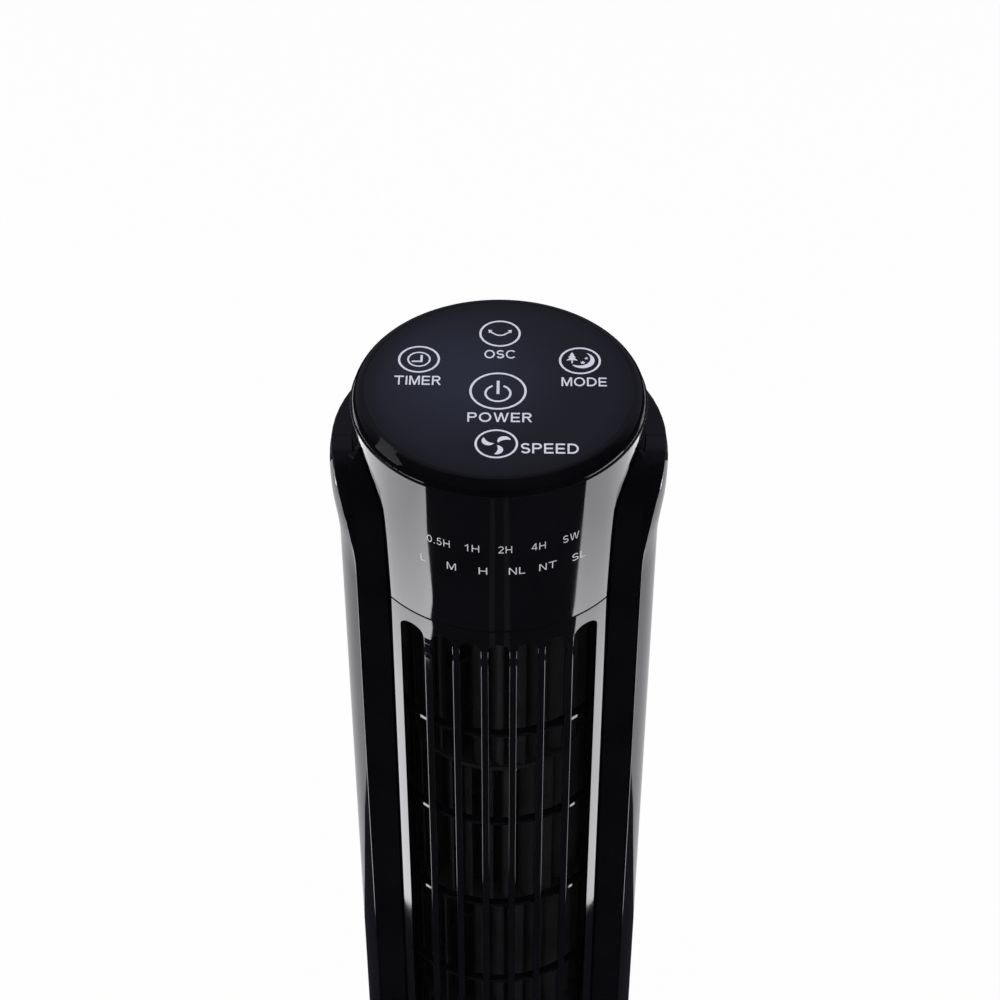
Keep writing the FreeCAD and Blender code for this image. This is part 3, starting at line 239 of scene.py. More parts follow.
# %% Mouldings, metals and rubber
GRAIN, GRAIN_DEPTH = 1.5 * MM, 0.04 * MM        # of a moulding's fine surface texture
CLOUD = 18 * MM             # size of the patches in its tone


def moulding(name, dark, light, rough=(0.35, 0.5)):
    material, tree, shader = start_material(name)
    tone = object_noise(tree, CLOUD, 3.0)
    tree.links.new(two_tones(tree, tone, dark, light), shader.inputs["Base Color"])
    grain = object_noise(tree, GRAIN, 2.0)
    tree.links.new(spread(tree, grain, *rough), shader.inputs["Roughness"])
    bump(tree, shader, grain, 0.2, GRAIN_DEPTH)
    return material


def streaked_metal(name, dark, light, rough=(0.22, 0.4), stretch=(1, 1, 14)):
    material, tree, shader = start_material(name)
    streaks = object_noise(tree, 0.004, 4.0, stretch)
    tree.links.new(two_tones(tree, streaks, dark, light), shader.inputs["Base Color"])
    tree.links.new(spread(tree, streaks, *rough), shader.inputs["Roughness"])
    bump(tree, shader, streaks, 0.1, 0.00003)
    shader.inputs["Metallic"].default_value = 1.0
    return material


def wound_copper():
    material, tree, shader = start_material("copper_windings")
    place = tree.nodes.new("ShaderNodeTexCoord")
    wire = tree.nodes.new("ShaderNodeTexWave")
    wire.wave_type = "RINGS"
    wire.rings_direction = "Z"
    wire.inputs["Scale"].default_value = 600
    wire.inputs["Distortion"].default_value = 1.5
    tree.links.new(place.outputs["Object"], wire.inputs["Vector"])
    # painted shade: the copper is darker where the wave is low, in the grooves between the wires
    groove_shade_colours = [(0.1, (0.20, 0.06, 0.02)), (0.8, (0.62, 0.26, 0.10))]
    tree.links.new(ramp(tree, wire.outputs["Fac"], groove_shade_colours), shader.inputs["Base Color"])
    bump(tree, shader, wire.outputs["Fac"], 0.5, 0.0002)
    shader.inputs["Metallic"].default_value = 1.0
    shader.inputs["Roughness"].default_value = 0.3
    return material


finishes = {
    "housing": housing_finish,
    "film": film_finish,
    "inner_black": moulding("satin_black", (0.010, 0.010, 0.011), (0.016, 0.016, 0.018)),
    "impeller": moulding("impeller_grey", (0.020, 0.020, 0.022), (0.030, 0.030, 0.033), (0.4, 0.55)),
    "grey_plastic": moulding("natural_acetal", (0.42, 0.42, 0.40), (0.52, 0.52, 0.50)),
    "rubber": moulding("soft_rubber", (0.018, 0.018, 0.018), (0.035, 0.035, 0.035), (0.65, 0.85)),
    "steel": streaked_metal("zinc_plated_steel", (0.42, 0.43, 0.45), (0.62, 0.63, 0.65)),
    "lamination": streaked_metal("stacked_sheets", (0.16, 0.16, 0.17), (0.34, 0.34, 0.35),
                                 (0.3, 0.5), (0.2, 0.2, 60)),
    "motor_can": moulding("painted_pressing", (0.045, 0.045, 0.048), (0.075, 0.075, 0.08)),
    "copper": wound_copper(),
    "bronze": streaked_metal("sintered_bronze", (0.35, 0.22, 0.10), (0.55, 0.38, 0.20),
                             (0.45, 0.6), (1, 1, 1)),
    "board": moulding("phenolic_board", (0.16, 0.09, 0.035), (0.26, 0.16, 0.07), (0.4, 0.6)),
    "component": moulding("moulded_component", (0.03, 0.05, 0.14), (0.05, 0.09, 0.22)),
    "lamp": moulding("diffused_lamp", (0.70, 0.70, 0.66), (0.85, 0.85, 0.80), (0.2, 0.3)),
}
print(len(finishes), "finishes")

# %% [markdown]
# ## Give each node its finish
#
# The record says which material slot a node belongs to, so one loop dresses every node, and nothing
# has to be listed twice.

# %% Assign finishes
for row in frame["record"]["subparts"]:
    mesh = nodes[row["node"]].data
    mesh.materials.clear()
    mesh.materials.append(finishes[row["material_slot"]])
for name in ("head_shell", "front_grille"):
    nodes[name].data.materials[0] = smoked_finish

# %% [markdown]
# ## Ink on the film
#
# Screen-printed ink is a layer a few hundredths of a millimetre thick, so each print is a real thin
# solid. Flat filled curves suit this best: an outline inside another cuts a hole, as in a ring, and
# `extrude` gives the thickness. The outlines are arcs and a few corners. Each curve is made a mesh,
# and its place goes into the mesh, so the finished piece sits at the origin.

# %% Outlines
INK = 0.03 * MM             # half thickness of the ink


def arc(x, y, radius, start, end, steps=24, tall=None):
    """Points on an arc round (x, y), in degrees. `tall` is the upright radius of an oval."""
    turns = [math.radians(start + (end - start) * i / steps) for i in range(steps + 1)]
    return [(x + radius * math.cos(t), y + (tall or radius) * math.sin(t)) for t in turns]


def closed_arc(x, y, radius, steps=64, tall=None):
    return arc(x, y, radius, 0, 360, steps, tall)[:-1]


def hoop(x, y, radius, width):
    """Outer and inner outline of a ring."""
    return [closed_arc(x, y, radius + width / 2), closed_arc(x, y, radius - width / 2)]


def bent_stroke(x, y, radius, width, start, end):
    """A thick arc."""
    return arc(x, y, radius + width / 2, start, end) + arc(x, y, radius - width / 2, end, start)


def moved(outline, x, y, wide=1.0, tall=1.0):
    return [(x + wide * a, y + tall * b) for a, b in outline]


# %% Turn outlines into thin solids
def new_object(name, data):
    """Object at the origin, linked to the scene."""
    made = bpy.data.objects.new(name, data)
    bpy.context.scene.collection.objects.link(made)
    return made


def drawn(name, outlines, thinner=0.0):
    """Thin solid of filled outlines in millimetres, each edge drawn in by `thinner`."""
    curve = bpy.data.curves.new(name, "CURVE")
    curve.dimensions = "2D"
    curve.fill_mode = "BOTH"
    curve.extrude = INK
    curve.offset = -thinner * MM
    for outline in outlines:
        spline = curve.splines.new("POLY")
        spline.points.add(len(outline) - 1)
        for point, (x, y) in zip(spline.points, outline):
            point.co = (x * MM, y * MM, 0, 1)
        spline.use_cyclic_u = True
    carrier = new_object(name, curve)
    depsgraph = bpy.context.evaluated_depsgraph_get()
    mesh = bpy.data.meshes.new_from_object(carrier.evaluated_get(depsgraph))
    bpy.data.objects.remove(carrier)
    shape = bmesh.new()
    shape.from_mesh(mesh)
    bmesh.ops.remove_doubles(shape, verts=shape.verts, dist=INK / 20)
    bmesh.ops.recalc_face_normals(shape, faces=shape.faces)
    shape.to_mesh(mesh)
    shape.free()
    mesh.name = name
    return mesh


print("ink layer", 2 * INK, "m thick")

# %% [markdown]
# ## Letters
#
# Panel lettering is a plain even-stroked sans. Blender's own font could be typed in, but its shapes are
# narrower and softer than what is printed on appliances. The few capitals and figures that the fan
# needs are simple, so they are drawn: height 1, an even stroke, and a second outline for each hole.

# %% Letter outlines
PEN = 0.15                  # width of the stroke, for letters of height 1
ROUND = 0.515               # half height of a round letter, a little taller than the others
LETTER_GAP = 0.17


def bowl(right, middle, radius, tall):
    """Half round from its lower end to its upper end."""
    return arc(right, middle, radius, -90, 90, 16, tall)


def stem_and_bowl(right, low, radius, foot):
    """P, R and D: a stem with a half round, its hole, and the foot of the outer line."""
    middle, tall = (low + 1) / 2, (1 - low) / 2
    outer = foot + bowl(right, middle, radius, tall) + [(0, 1)]
    hole = [(PEN, low + PEN)] + bowl(right, middle, radius - PEN, tall - PEN) + [(PEN, 1 - PEN)]
    return [outer, hole]


def oval(wide):
    return [closed_arc(wide / 2, 0.5, wide / 2, 48, ROUND),
            closed_arc(wide / 2, 0.5, wide / 2 - PEN, 48, ROUND - PEN)]


def wide_stroke(line, width):
    """Outline of a stroke of even width along a line of points."""
    left, right = [], []
    for i, (x, y) in enumerate(line):
        ahead, behind = line[min(i + 1, len(line) - 1)], line[max(i - 1, 0)]
        along = Vector((ahead[0] - behind[0], ahead[1] - behind[1])).normalized() * width / 2
        left.append((x - along.y, y + along.x))
        right.append((x + along.y, y - along.x))
    return left + right[::-1]


def letter_s():
    upper = arc(0.345, 0.713, 0.272, 22, 258, 20, 0.222)
    lower = arc(0.355, 0.282, 0.288, 78, -162, 20, 0.217)
    return [wide_stroke(upper + lower, PEN)]


bar_low, bar_high = 0.5 - PEN / 2, 0.5 + PEN / 2
letters = {
    "C": (0.89, [arc(0.5, 0.5, 0.5, 42, 318, 30, ROUND) + arc(0.5, 0.5, 0.36, 318, 42, 30, 0.375)]),
    "D": (0.87, stem_and_bowl(0.36, 0.0, 0.51, [(0, 0)])),
    "E": (0.74, [[(0, 0), (0.74, 0), (0.74, PEN), (PEN, PEN), (PEN, bar_low), (0.68, bar_low),
                  (0.68, bar_high), (PEN, bar_high), (PEN, 1 - PEN), (0.72, 1 - PEN), (0.72, 1),
                  (0, 1)]]),
    "H": (0.79, [[(0, 0), (PEN, 0), (PEN, bar_low), (0.65, bar_low), (0.65, 0), (0.79, 0), (0.79, 1),
                  (0.65, 1), (0.65, bar_high), (PEN, bar_high), (PEN, 1), (0, 1)]]),
    "I": (PEN, [[(0, 0), (PEN, 0), (PEN, 1), (0, 1)]]),
    "L": (0.62, [[(0, 0), (0.62, 0), (0.62, PEN), (PEN, PEN), (PEN, 1), (0, 1)]]),
    "M": (0.95, [[(0, 0), (PEN, 0), (PEN, 0.80), (0.405, 0), (0.545, 0), (0.81, 0.80), (0.81, 0),
                  (0.95, 0), (0.95, 1), (0.768, 1), (0.475, 0.27), (0.182, 1), (0, 1)]]),
    "N": (0.78, [[(0, 0), (PEN, 0), (PEN, 0.76), (0.63, 0), (0.78, 0), (0.78, 1), (0.64, 1),
                  (0.64, 0.24), (0.15, 1), (0, 1)]]),
    "O": (1.0, oval(1.0)),
    "P": (0.75, stem_and_bowl(0.46, 0.42, 0.29, [(0, 0), (PEN, 0), (PEN, 0.42)])),
    "R": (0.79, stem_and_bowl(0.46, 0.44, 0.28, [(0, 0), (PEN, 0), (PEN, 0.44), (0.36, 0.44),
                                                (0.62, 0), (0.79, 0), (0.51, 0.44)])),
    "S": (0.70, letter_s()),
    "T": (0.85, [[(0.355, 0), (0.495, 0), (0.495, 1 - PEN), (0.85, 1 - PEN), (0.85, 1), (0, 1),
                  (0, 1 - PEN), (0.355, 1 - PEN)]]),
    "W": (1.23, [[(0.27, 0), (0.42, 0), (0.615, 0.74), (0.81, 0), (0.96, 0), (1.23, 1), (1.08, 1),
                  (0.885, 0.22), (0.69, 1), (0.54, 1), (0.345, 0.22), (0.15, 1), (0, 1)]]),
    "0": (0.68, oval(0.68)),
    "1": (0.38, [[(0.24, 0), (0.38, 0), (0.38, 1), (0.29, 1), (0.17, 0.86), (0, 0.77), (0, 0.64),
                  (0.13, 0.69), (0.24, 0.77)]]),
    "2": (0.68, [arc(0.34, 0.71, 0.33, 165, -35, 20, 0.29) + [(0.24, PEN), (0.68, PEN), (0.68, 0),
                 (0, 0), (0.02, 0.10)] + arc(0.34, 0.71, 0.19, -35, 165, 20, 0.15)]),
    "4": (0.70, [[(0.43, 0), (0.57, 0), (0.57, 0.22), (0.70, 0.22), (0.70, 0.35), (0.57, 0.35),
                  (0.57, 1), (0.43, 1), (0, 0.36), (0, 0.22), (0.43, 0.22)],
                 [(0.43, 0.35), (0.43, 0.78), (0.15, 0.35)]]),
    "5": (0.67, [[(0.14, 1), (0.62, 1), (0.62, 0.87), (0.255, 0.87)]
                 + arc(0.33, 0.33, 0.34, 108, -162, 20, 0.34)
                 + arc(0.33, 0.33, 0.20, -162, 128, 20, 0.20) + [(0.075, 0.50)]]),
    ".": (0.16, [[(0, 0), (0.16, 0), (0.16, 0.16), (0, 0.16)]]),
}


def lettered(name, text, x, y, height, width, gap=LETTER_GAP, thinner=0.0):
    """Word centred on x and standing on y, in millimetres, as wide as `width`."""
    places, length = [], 0.0
    for letter in text:
        places.append(length)
        length += letters[letter][0] + gap
    length -= gap
    wide = width / length
    outlines = []
    for letter, start in zip(text, places):
        for outline in letters[letter][1]:
            outlines.append(moved(outline, x + (start - length / 2) * wide, y, wide, height))
    return drawn(name, outlines, thinner)


print(len(letters), "letters and figures")

# %% [markdown]
# ## The five key prints
#
# Each key has a ring, a pictogram and a word: a power sign, a double arrow for the swing, a small fan
# for the speed, a clock for the timer, and a tree with a moon for the breeze programmes. The film is
# laid a hair off square, as hand-laid films are, so all prints share one small turn.

# %% Pictograms
RING_LINE = 0.95            # millimetres, as all the numbers of the prints
SMALL_RING = 8.6
POWER_RING = 11.75


def power_sign(x, y):
    shapes = hoop(x, y, POWER_RING, 1.0)
    shapes.append(bent_stroke(x, y - 1.5, 5.35, 0.95, 116, 424))
    shapes.append([(x - 0.6, y - 2.0), (x + 0.6, y - 2.0), (x + 0.6, y + 6.8), (x - 0.6, y + 6.8)])
    return shapes


def swing_sign(x, y):
    """A bow with an arrowhead at each end, pointing out and up, in one outline."""
    right_head = [(4.40, 0.84), (4.85, 0.25), (5.2, 2.55), (3.35, 2.25), (3.94, 1.43)]
    left_head = [(-a, b) for a, b in reversed(right_head)]
    bow = arc(0, 2.2, 3.83, 232, 308) + right_head + arc(0, 2.2, 3.07, 308, 232) + left_head
    return hoop(x, y, SMALL_RING, RING_LINE) + [moved(bow, x, y)]


def fan_sign(x, y):
    """Three blades round a clear middle, each one swept the same way."""
    shapes = hoop(x, y, SMALL_RING, RING_LINE)
    for blade in range(3):
        back = arc(3.25, 1.95, 2.85, 208, 12, 18)
        front = arc(4.6, -2.1, 4.8, 76, 147, 14)
        turn = math.radians(120 * blade)
        c, s = math.cos(turn), math.sin(turn)
        shapes.append([(x + a * c - b * s, y + a * s + b * c) for a, b in back + front])
    return shapes


def clock_sign(x, y):
    shapes = hoop(x, y, SMALL_RING, RING_LINE) + hoop(x, y, 4.7, 0.75)
    hands = [(1.6, 2.9), (0.6, 2.9), (0.6, -0.95), (-3.1, -0.95), (-3.1, -1.9), (1.6, -1.9)]
    shapes.append(moved(hands, x, y))
    return shapes


def star(x, y, size):
    """Five points, with arms 2.2 times as long as the notches between them."""
    reaches = [size, size / 2.2] * 5
    return [arc(x, y, reach, 90 + 36 * i, 0, 1)[0] for i, reach in enumerate(reaches)]


def night_sign(x, y):
    """A fir tree with a waning moon and two stars."""
    shapes = hoop(x, y, SMALL_RING, RING_LINE)
    moon = arc(1.0, 0.25, 5.35, -136, 70, 30) + arc(-0.3, 1.5, 4.85, 50, -118, 26) + [(-3.35, -2.75)]
    tree = [(-3.4, 5.6), (-2.4, 4.0), (-2.9, 4.0), (-1.7, 2.2), (-2.5, 2.2), (-0.9, 0.1), (-3.1, 0.4),
            (-3.1, -1.7), (-3.7, -1.7), (-3.7, 0.4), (-5.9, 0.1), (-4.3, 2.2), (-5.1, 2.2),
            (-3.9, 4.0), (-4.4, 4.0)]
    shapes += [moved(moon, x, y), moved(tree, x, y)]
    shapes += [star(x + 1.2, y - 1.3, 1.25), star(x + 2.8, y + 1.7, 0.95)]
    return shapes


# %% Place the prints on the film
PRINT_TURN = math.radians(-0.84)


def finished_print(mesh, ink_material):
    """Makes a printed mesh a piece that rides with the column."""
    mesh.materials.clear()
    mesh.materials.append(ink_material)
    piece = new_object(mesh.name, mesh)
    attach(piece, "column")


def lay_on_film(mesh):
    mesh.transform(Matrix.Rotation(PRINT_TURN, 4, "Z"))
    mesh.transform(Matrix.Translation((0, 0, film_top)))
    finished_print(mesh, film_ink)


signs = {
    "print_power": power_sign(-0.3, -3.5),
    "print_swing": swing_sign(0.0, 35.55),
    "print_speed": fan_sign(-0.5, -37.6),
    "print_timer": clock_sign(-34.84, 17.3),
    "print_mode": night_sign(34.84, 17.3),
}
for name, outlines in signs.items():
    lay_on_film(drawn(name, outlines))

# Word, x of its middle, y of its foot, height and width
words = {
    "word_power": ("POWER", 0.7, -23.7, 5.95, 27.3),
    "word_swing": ("OSC", 0.1, 18.5, 5.5, 13.4),
    "word_speed": ("SPEED", 21.8, -43.4, 6.3, 24.0),
    "word_timer": ("TIMER", -34.9, 0.1, 6.0, 20.0),
    "word_mode": ("MODE", 36.5, 0.2, 5.8, 19.4),
}
for name, (text, x, y, height, width) in words.items():
    lay_on_film(lettered(name, text, x, y, height, width))
print(len(signs), "pictograms and", len(words), "words on the film")

# %% [markdown]
# ## Legends on the head's front
#
# The timer hours and the settings are pad-printed on the round front of the head, in front of the lamps
# of the display. Each word is made flat, then every vertex is wrapped round the head: its x becomes an
# angle, and its y a height on the slightly tapered face.

# %% Wrap the legends
LEGEND_HEIGHT = 4.2
LEGEND_WIDTHS = {"0.5H": 10.7, "1H": 6.3, "2H": 6.0, "4H": 6.3, "SW": 7.9, "L": 2.8, "M": 4.3,
                 "H": 3.8, "NL": 7.2, "NT": 7.9, "SL": 7.0}
LEGEND_GAPS = {"1H": 0.32}  # set wider than LETTER_GAP
LEGEND_THINNER = 0.09       # millimetres off each edge of a stroke
HEAD_TAPER = 1.3 * MM       # the head is this much narrower in radius at its seam
head_bottom_radius = head_top_radius - HEAD_TAPER
head_lip = head_high.z


def head_radius(z):
    share = (z - head_seam) / (head_lip - head_seam)
    return head_bottom_radius + share * (head_top_radius - head_bottom_radius)


def wrap_on_head(mesh, angle, drop):
    """Bends a flat word round the head, centred at an angle from -Y, standing `drop` below the film."""
    for vertex in mesh.vertices:
        x, y, lift = vertex.co
        z = film_top - drop * MM + y
        radius = head_radius(z)
        turn = math.radians(angle) + x / radius
        vertex.co = ((radius + lift) * math.sin(turn), -(radius + lift) * math.cos(turn), z)
    finished_print(mesh, head_ink)


# Drop below the film, then each legend of the row with its angle
legend_rows = (
    (38.45, (("0.5H", -23.7), ("1H", -10.2), ("2H", 2.4), ("4H", 15.3), ("SW", 28.7))),
    (51.35, (("L", -30.5), ("M", -18.5), ("H", -6.1), ("NL", 7.0), ("NT", 19.2), ("SL", 32.6))),
)
for drop, row in legend_rows:
    for text, angle in row:
        word = lettered("legend_" + text.replace(".", "_"), text, 0, 0, LEGEND_HEIGHT,
                        LEGEND_WIDTHS[text], LEGEND_GAPS.get(text, LETTER_GAP), LEGEND_THINNER)
        wrap_on_head(word, angle, drop)
print(sum(len(row) for _, row in legend_rows), "legends on the head")

# %% [markdown]
# ## Dark ring in the head's seam
#
# A thin, nearly black, matt ring fills the joint between head and grille. It is painted shade: it stands
# for the shadow in the seam, and its weak reflection keeps the seam dark where it crosses a bright
# reflection. It is a rectangle spun round the axis.

# %% Dark ring of painted shade in the seam
SHADE_RING_BELOW, SHADE_RING_ABOVE = 0.6 * MM, 0.32 * MM      # from the seam to the ring's edges
SHADE_RING_DEPTH = 1.0 * MM
SHADE_RING_PROUD = 0.04 * MM     # how far it stands out of the seam
# painted shade: a near-black matt colour with a weak reflection keeps the seam dark
seam_shade_black = moulding("painted_seam_shade", (0.0015, 0.0015, 0.002), (0.004, 0.004, 0.005), (0.85, 0.95))
seam_shade_black.node_tree.nodes["Principled BSDF"].inputs["Specular IOR Level"].default_value = 0.05


def closed_loop(shape, corners):
    """Vertices at the corners, and the edges that join them in a ring."""
    verts = [shape.verts.new(corner) for corner in corners]
    return verts, [shape.edges.new((verts[i - 1], verts[i])) for i in range(len(verts))]


def finished_mesh(shape, name, material):
    """Turns a bmesh into a mesh of one material."""
    mesh = bpy.data.meshes.new(name)
    shape.to_mesh(mesh)
    shape.free()
    mesh.materials.append(material)
    return mesh


def seam_shade_ring():
    shape = bmesh.new()
    low, high = head_seam - SHADE_RING_BELOW, head_seam + SHADE_RING_ABOVE
    outer = head_bottom_radius + SHADE_RING_PROUD
    inner = outer - SHADE_RING_DEPTH
    corners = [(outer, 0, low), (outer, 0, high), (inner, 0, high), (inner, 0, low)]
    verts, edges = closed_loop(shape, corners)
    bmesh.ops.spin(shape, geom=verts + edges, axis=(0, 0, 1), cent=(0, 0, 0), angle=math.tau,
                   steps=180, use_merge=True)
    bmesh.ops.recalc_face_normals(shape, faces=shape.faces)
    piece = new_object("seam_shade_ring", finished_mesh(shape, "seam_shade_ring", seam_shade_black))
    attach(piece, "column")
    return piece


seam_shade_piece = seam_shade_ring()
print(len(seam_shade_piece.data.polygons), "faces in the liner")

# %% [markdown]
# ## Beads along the wings
#
# The inner edge of each wing does not stop square in front of the head. A slanting bead closes the
# corner, hugging the round head a quarter of a millimetre off it, and at the top it runs back round the
# head's side. Its cross-section changes as it climbs, which suits bridged loops: one closed loop of
# edges for each height, bridged to the next, with both ends filled.

# %% Wing beads
BEAD_GAP = 0.25 * MM
TIP_THICKNESS = 0.6 * MM
ROOT_TURN = 0.35            # degrees from the tip to its root beside the head
FOOT_OVERLAP = 0.5 * MM     # the foot reaches this far into the wing
FOOT_TOP = 0.7342           # the foot stays below the wing's top edge
BEAD_SLANT = 0.39           # how far the face falls back for each metre outwards


def on_head(angle, z, lift):
    """Point at an angle from -Y, `lift` outside the head's face."""
    radius = head_radius(max(z, head_seam)) + lift
    turn = math.radians(angle)
    return Vector((radius * math.sin(turn), -radius * math.cos(turn), z))


bead_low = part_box("front_grille")[0].z + 0.3 * MM
# Height and angle of the bead's tip, x and z of its front corner, y of its foot on the wing
bead_stations = (
    (bead_low, 50.0, 0.0616, bead_low, -0.03356),
    (0.640, 50.0, 0.0616, 0.640, -0.03356),
    (0.700, 50.3, 0.0616, 0.700, -0.03356),
    (0.710, 50.5, 0.0618, 0.711, -0.03350),
    (0.716, 50.8, 0.0620, 0.7165, -0.03270),
    (0.721, 51.0, 0.0623, 0.7210, -0.03080),
    (0.726, 51.5, 0.0627, 0.7230, -0.02800),
    (0.731, 53.2, 0.0630, 0.7255, -0.02450),
    (0.737, 56.5, 0.0634, 0.7290, -0.02080),
    (0.7435, 61.5, 0.0640, 0.7322, -0.01700),
    (0.7490, 66.5, 0.0648, 0.7340, -0.01300),
)


def bead_loop(shape, side, tip_z, angle, corner_x, corner_z, foot_y):
    """Closed loop: foot and corner on the wing, the tip beside the head, and the back."""
    tip = on_head(-angle, tip_z, BEAD_GAP + TIP_THICKNESS)
    root = on_head(-angle - ROOT_TURN, tip_z, BEAD_GAP)
    corner = Vector((-corner_x, tip.y + BEAD_SLANT * (corner_x + tip.x), corner_z))
    foot = Vector((-corner_x - FOOT_OVERLAP, foot_y, min(corner_z, FOOT_TOP)))
    reach = head_radius(max(foot.z, head_seam)) + BEAD_GAP
    back = Vector((-math.sqrt(reach ** 2 - foot_y ** 2), foot_y, foot.z))
    corners = [(-side * p.x, p.y, p.z) for p in (foot, corner, tip, root, back)]
    return closed_loop(shape, corners)[1]


def wing_bead(name, side):
    shape = bmesh.new()
    loops = [bead_loop(shape, side, *station) for station in bead_stations]
    along_edges = []
    for lower, upper in zip(loops, loops[1:]):
        along_edges += bmesh.ops.bridge_loops(shape, edges=lower + upper)["edges"]
    for end in (loops[0], loops[-1]):
        bmesh.ops.contextual_create(shape, geom=end)
    bmesh.ops.recalc_face_normals(shape, faces=shape.faces)
    for face in shape.faces:
        face.smooth = True
    for edge in along_edges + loops[0] + loops[-1]:
        edge.smooth = False
    piece = new_object(name, finished_mesh(shape, name, housing_finish))
    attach(piece, "column")
    return piece


beads = [wing_bead("wing_bead_left", -1), wing_bead("wing_bead_right", 1)]
print(len(beads), "beads of", len(beads[0].data.polygons), "faces")

# %% [markdown]
# ## Floor
#
# Gloss black shows its surroundings more than its own colour, so the room is arranged for the
# reflections. The floor is pale, and white to the camera and in reflections, so the sides of the housing
# pick up its light. Light Path tells the shader who is looking, which keeps the lamps at a plain level.
# A dark card lies on the floor round the fan, seen only in reflections: it keeps the front deep black.

# %% Floor and card
FLOOR = 12.0                # half width
FLOOR_WHITE = 0.97          # how far the floor turns white to the camera and in reflections
SHEET_STEP = 1.0 * MM       # each sheet on the floor lies this far above the last


def glow_when(tree, shader, kinds, amount):
    """Mixes a white glow over a shader, by an amount, for the named kinds of ray."""
    seen = tree.nodes.new("ShaderNodeLightPath")
    any_kind = seen.outputs[kinds[0]]
    for kind in kinds[1:]:
        any_kind = combined(tree, "MAXIMUM", any_kind, seen.outputs[kind])
    share = map_range(tree, any_kind, (0, 1), (0, amount))
    glow = tree.nodes.new("ShaderNodeEmission")
    glow.inputs["Color"].default_value = (1, 1, 1, 1)
    mix = tree.nodes.new("ShaderNodeMixShader")
    tree.links.new(share.outputs["Result"], mix.inputs["Fac"])
    tree.links.new(shader.outputs["BSDF"], mix.inputs[1])
    tree.links.new(glow.outputs["Emission"], mix.inputs[2])
    tree.links.new(mix.outputs["Shader"], tree.nodes["Material Output"].inputs["Surface"])


def floor_material():
    material, tree, shader = start_material("pale_floor")
    colours = two_tones(tree, object_noise(tree, 0.4, 2.0), (0.84, 0.84, 0.84), (0.88, 0.88, 0.88))
    tree.links.new(colours, shader.inputs["Base Color"])
    shader.inputs["Roughness"].default_value = 0.9
    shader.inputs["Specular IOR Level"].default_value = 0.2
    kinds = ("Is Camera Ray", "Is Glossy Ray", "Is Transmission Ray")
    glow_when(tree, shader, kinds, FLOOR_WHITE)
    return material


def dark_card_material():
    material, _, shader = start_material("black_card")
    shader.inputs["Base Color"].default_value = (0.028, 0.028, 0.036, 1)
    shader.inputs["Roughness"].default_value = 1.0
    shader.inputs["Specular IOR Level"].default_value = 0.0
    return material


def flat_sheet(name, corners, material):
    """One flat face with its corners in order."""
    shape = bmesh.new()
    shape.faces.new([shape.verts.new(corner) for corner in corners])
    sheet = new_object(name, finished_mesh(shape, name, material))
    return sheet


def level_corners(left, right, front, back, height):
    return [(left, front, height), (right, front, height), (right, back, height),
            (left, back, height)]


def only_in_reflections(sheet):
    for flag in ("visible_camera", "visible_diffuse", "visible_shadow", "visible_transmission"):
        setattr(sheet, flag, False)


flat_sheet("floor", level_corners(-FLOOR, FLOOR, -FLOOR, FLOOR, 0), floor_material())
card = flat_sheet("dark_card", level_corners(-FLOOR, FLOOR, -FLOOR, FLOOR, SHEET_STEP),
                  dark_card_material())
only_in_reflections(card)
print("floor and card", 2 * FLOOR, "m wide")

# %% [markdown]
# ## Side panels and other lights to mirror
#
# Two soft panels stand low beside the fan. The head and the column mirror them as the long pale strips
# that make gloss plastic look like gloss plastic. A panel is a glowing sheet seen only in reflections,
# brighter at its front edge, and its slanting outline gives the strips their slanting ends.
#
# A gloss moulding shows a room's other lights too, so weaker sheets stand in for them. A far window and
# three small lights hang in line with the panels and touch up the head's sides. A wide light lies on the
# floor behind the fan, and two narrow strips lie in front of it and draw faint lines down its middle.

# %% Glowing sheets
PANEL_X = 0.40
LIGHT_TINT = (0.975, 0.965, 1.0)


def along(tree, axis, start, end, values):
    """Value that goes from values[0] at `start` to values[1] at `end` along an axis."""
    place = tree.nodes.new("ShaderNodeTexCoord")
    axes = tree.nodes.new("ShaderNodeSeparateXYZ")
    tree.links.new(place.outputs["Object"], axes.inputs["Vector"])
    return map_range(tree, axes.outputs[axis], (start, end), values).outputs["Result"]


def glowing(name, strength_of):
    """Emission whose strength is a number or comes from a function of the node tree."""
    material = bpy.data.materials.new(name)
    material.use_nodes = True
    tree = material.node_tree
    tree.nodes.remove(tree.nodes["Principled BSDF"])
    glow = tree.nodes.new("ShaderNodeEmission")
    glow.inputs["Color"].default_value = (*LIGHT_TINT, 1)
    if callable(strength_of):
        tree.links.new(strength_of(tree), glow.inputs["Strength"])
    else:
        glow.inputs["Strength"].default_value = strength_of
    tree.links.new(glow.outputs["Emission"], tree.nodes["Material Output"].inputs["Surface"])
    return material


def panel_glow(front, bright, at_fan):
    """Strength that is greatest at the front edge, and towards the floor."""
    def strength(tree):
        forward = along(tree, "Y", front, 0.0, (bright, at_fan))
        upward = along(tree, "Z", 0.24, 0.38, (0.98, 0.62))
        return combined(tree, "MULTIPLY", forward, upward)
    return strength


def hang_lights(lights):
    """Upright sheets: x, outline in y and z, and strength of each."""
    for name, (x, outline, strength) in lights.items():
        corners = [(x, y, z) for y, z in outline]
        only_in_reflections(flat_sheet(name, corners, glowing(name, strength)))


def lay_light(name, sides, ends, layer, strength):
    """Level sheet between two x and two y, a number of steps above the floor."""
    corners = level_corners(*sides, *ends, layer * SHEET_STEP)
    only_in_reflections(flat_sheet(name, corners, glowing(name, strength)))


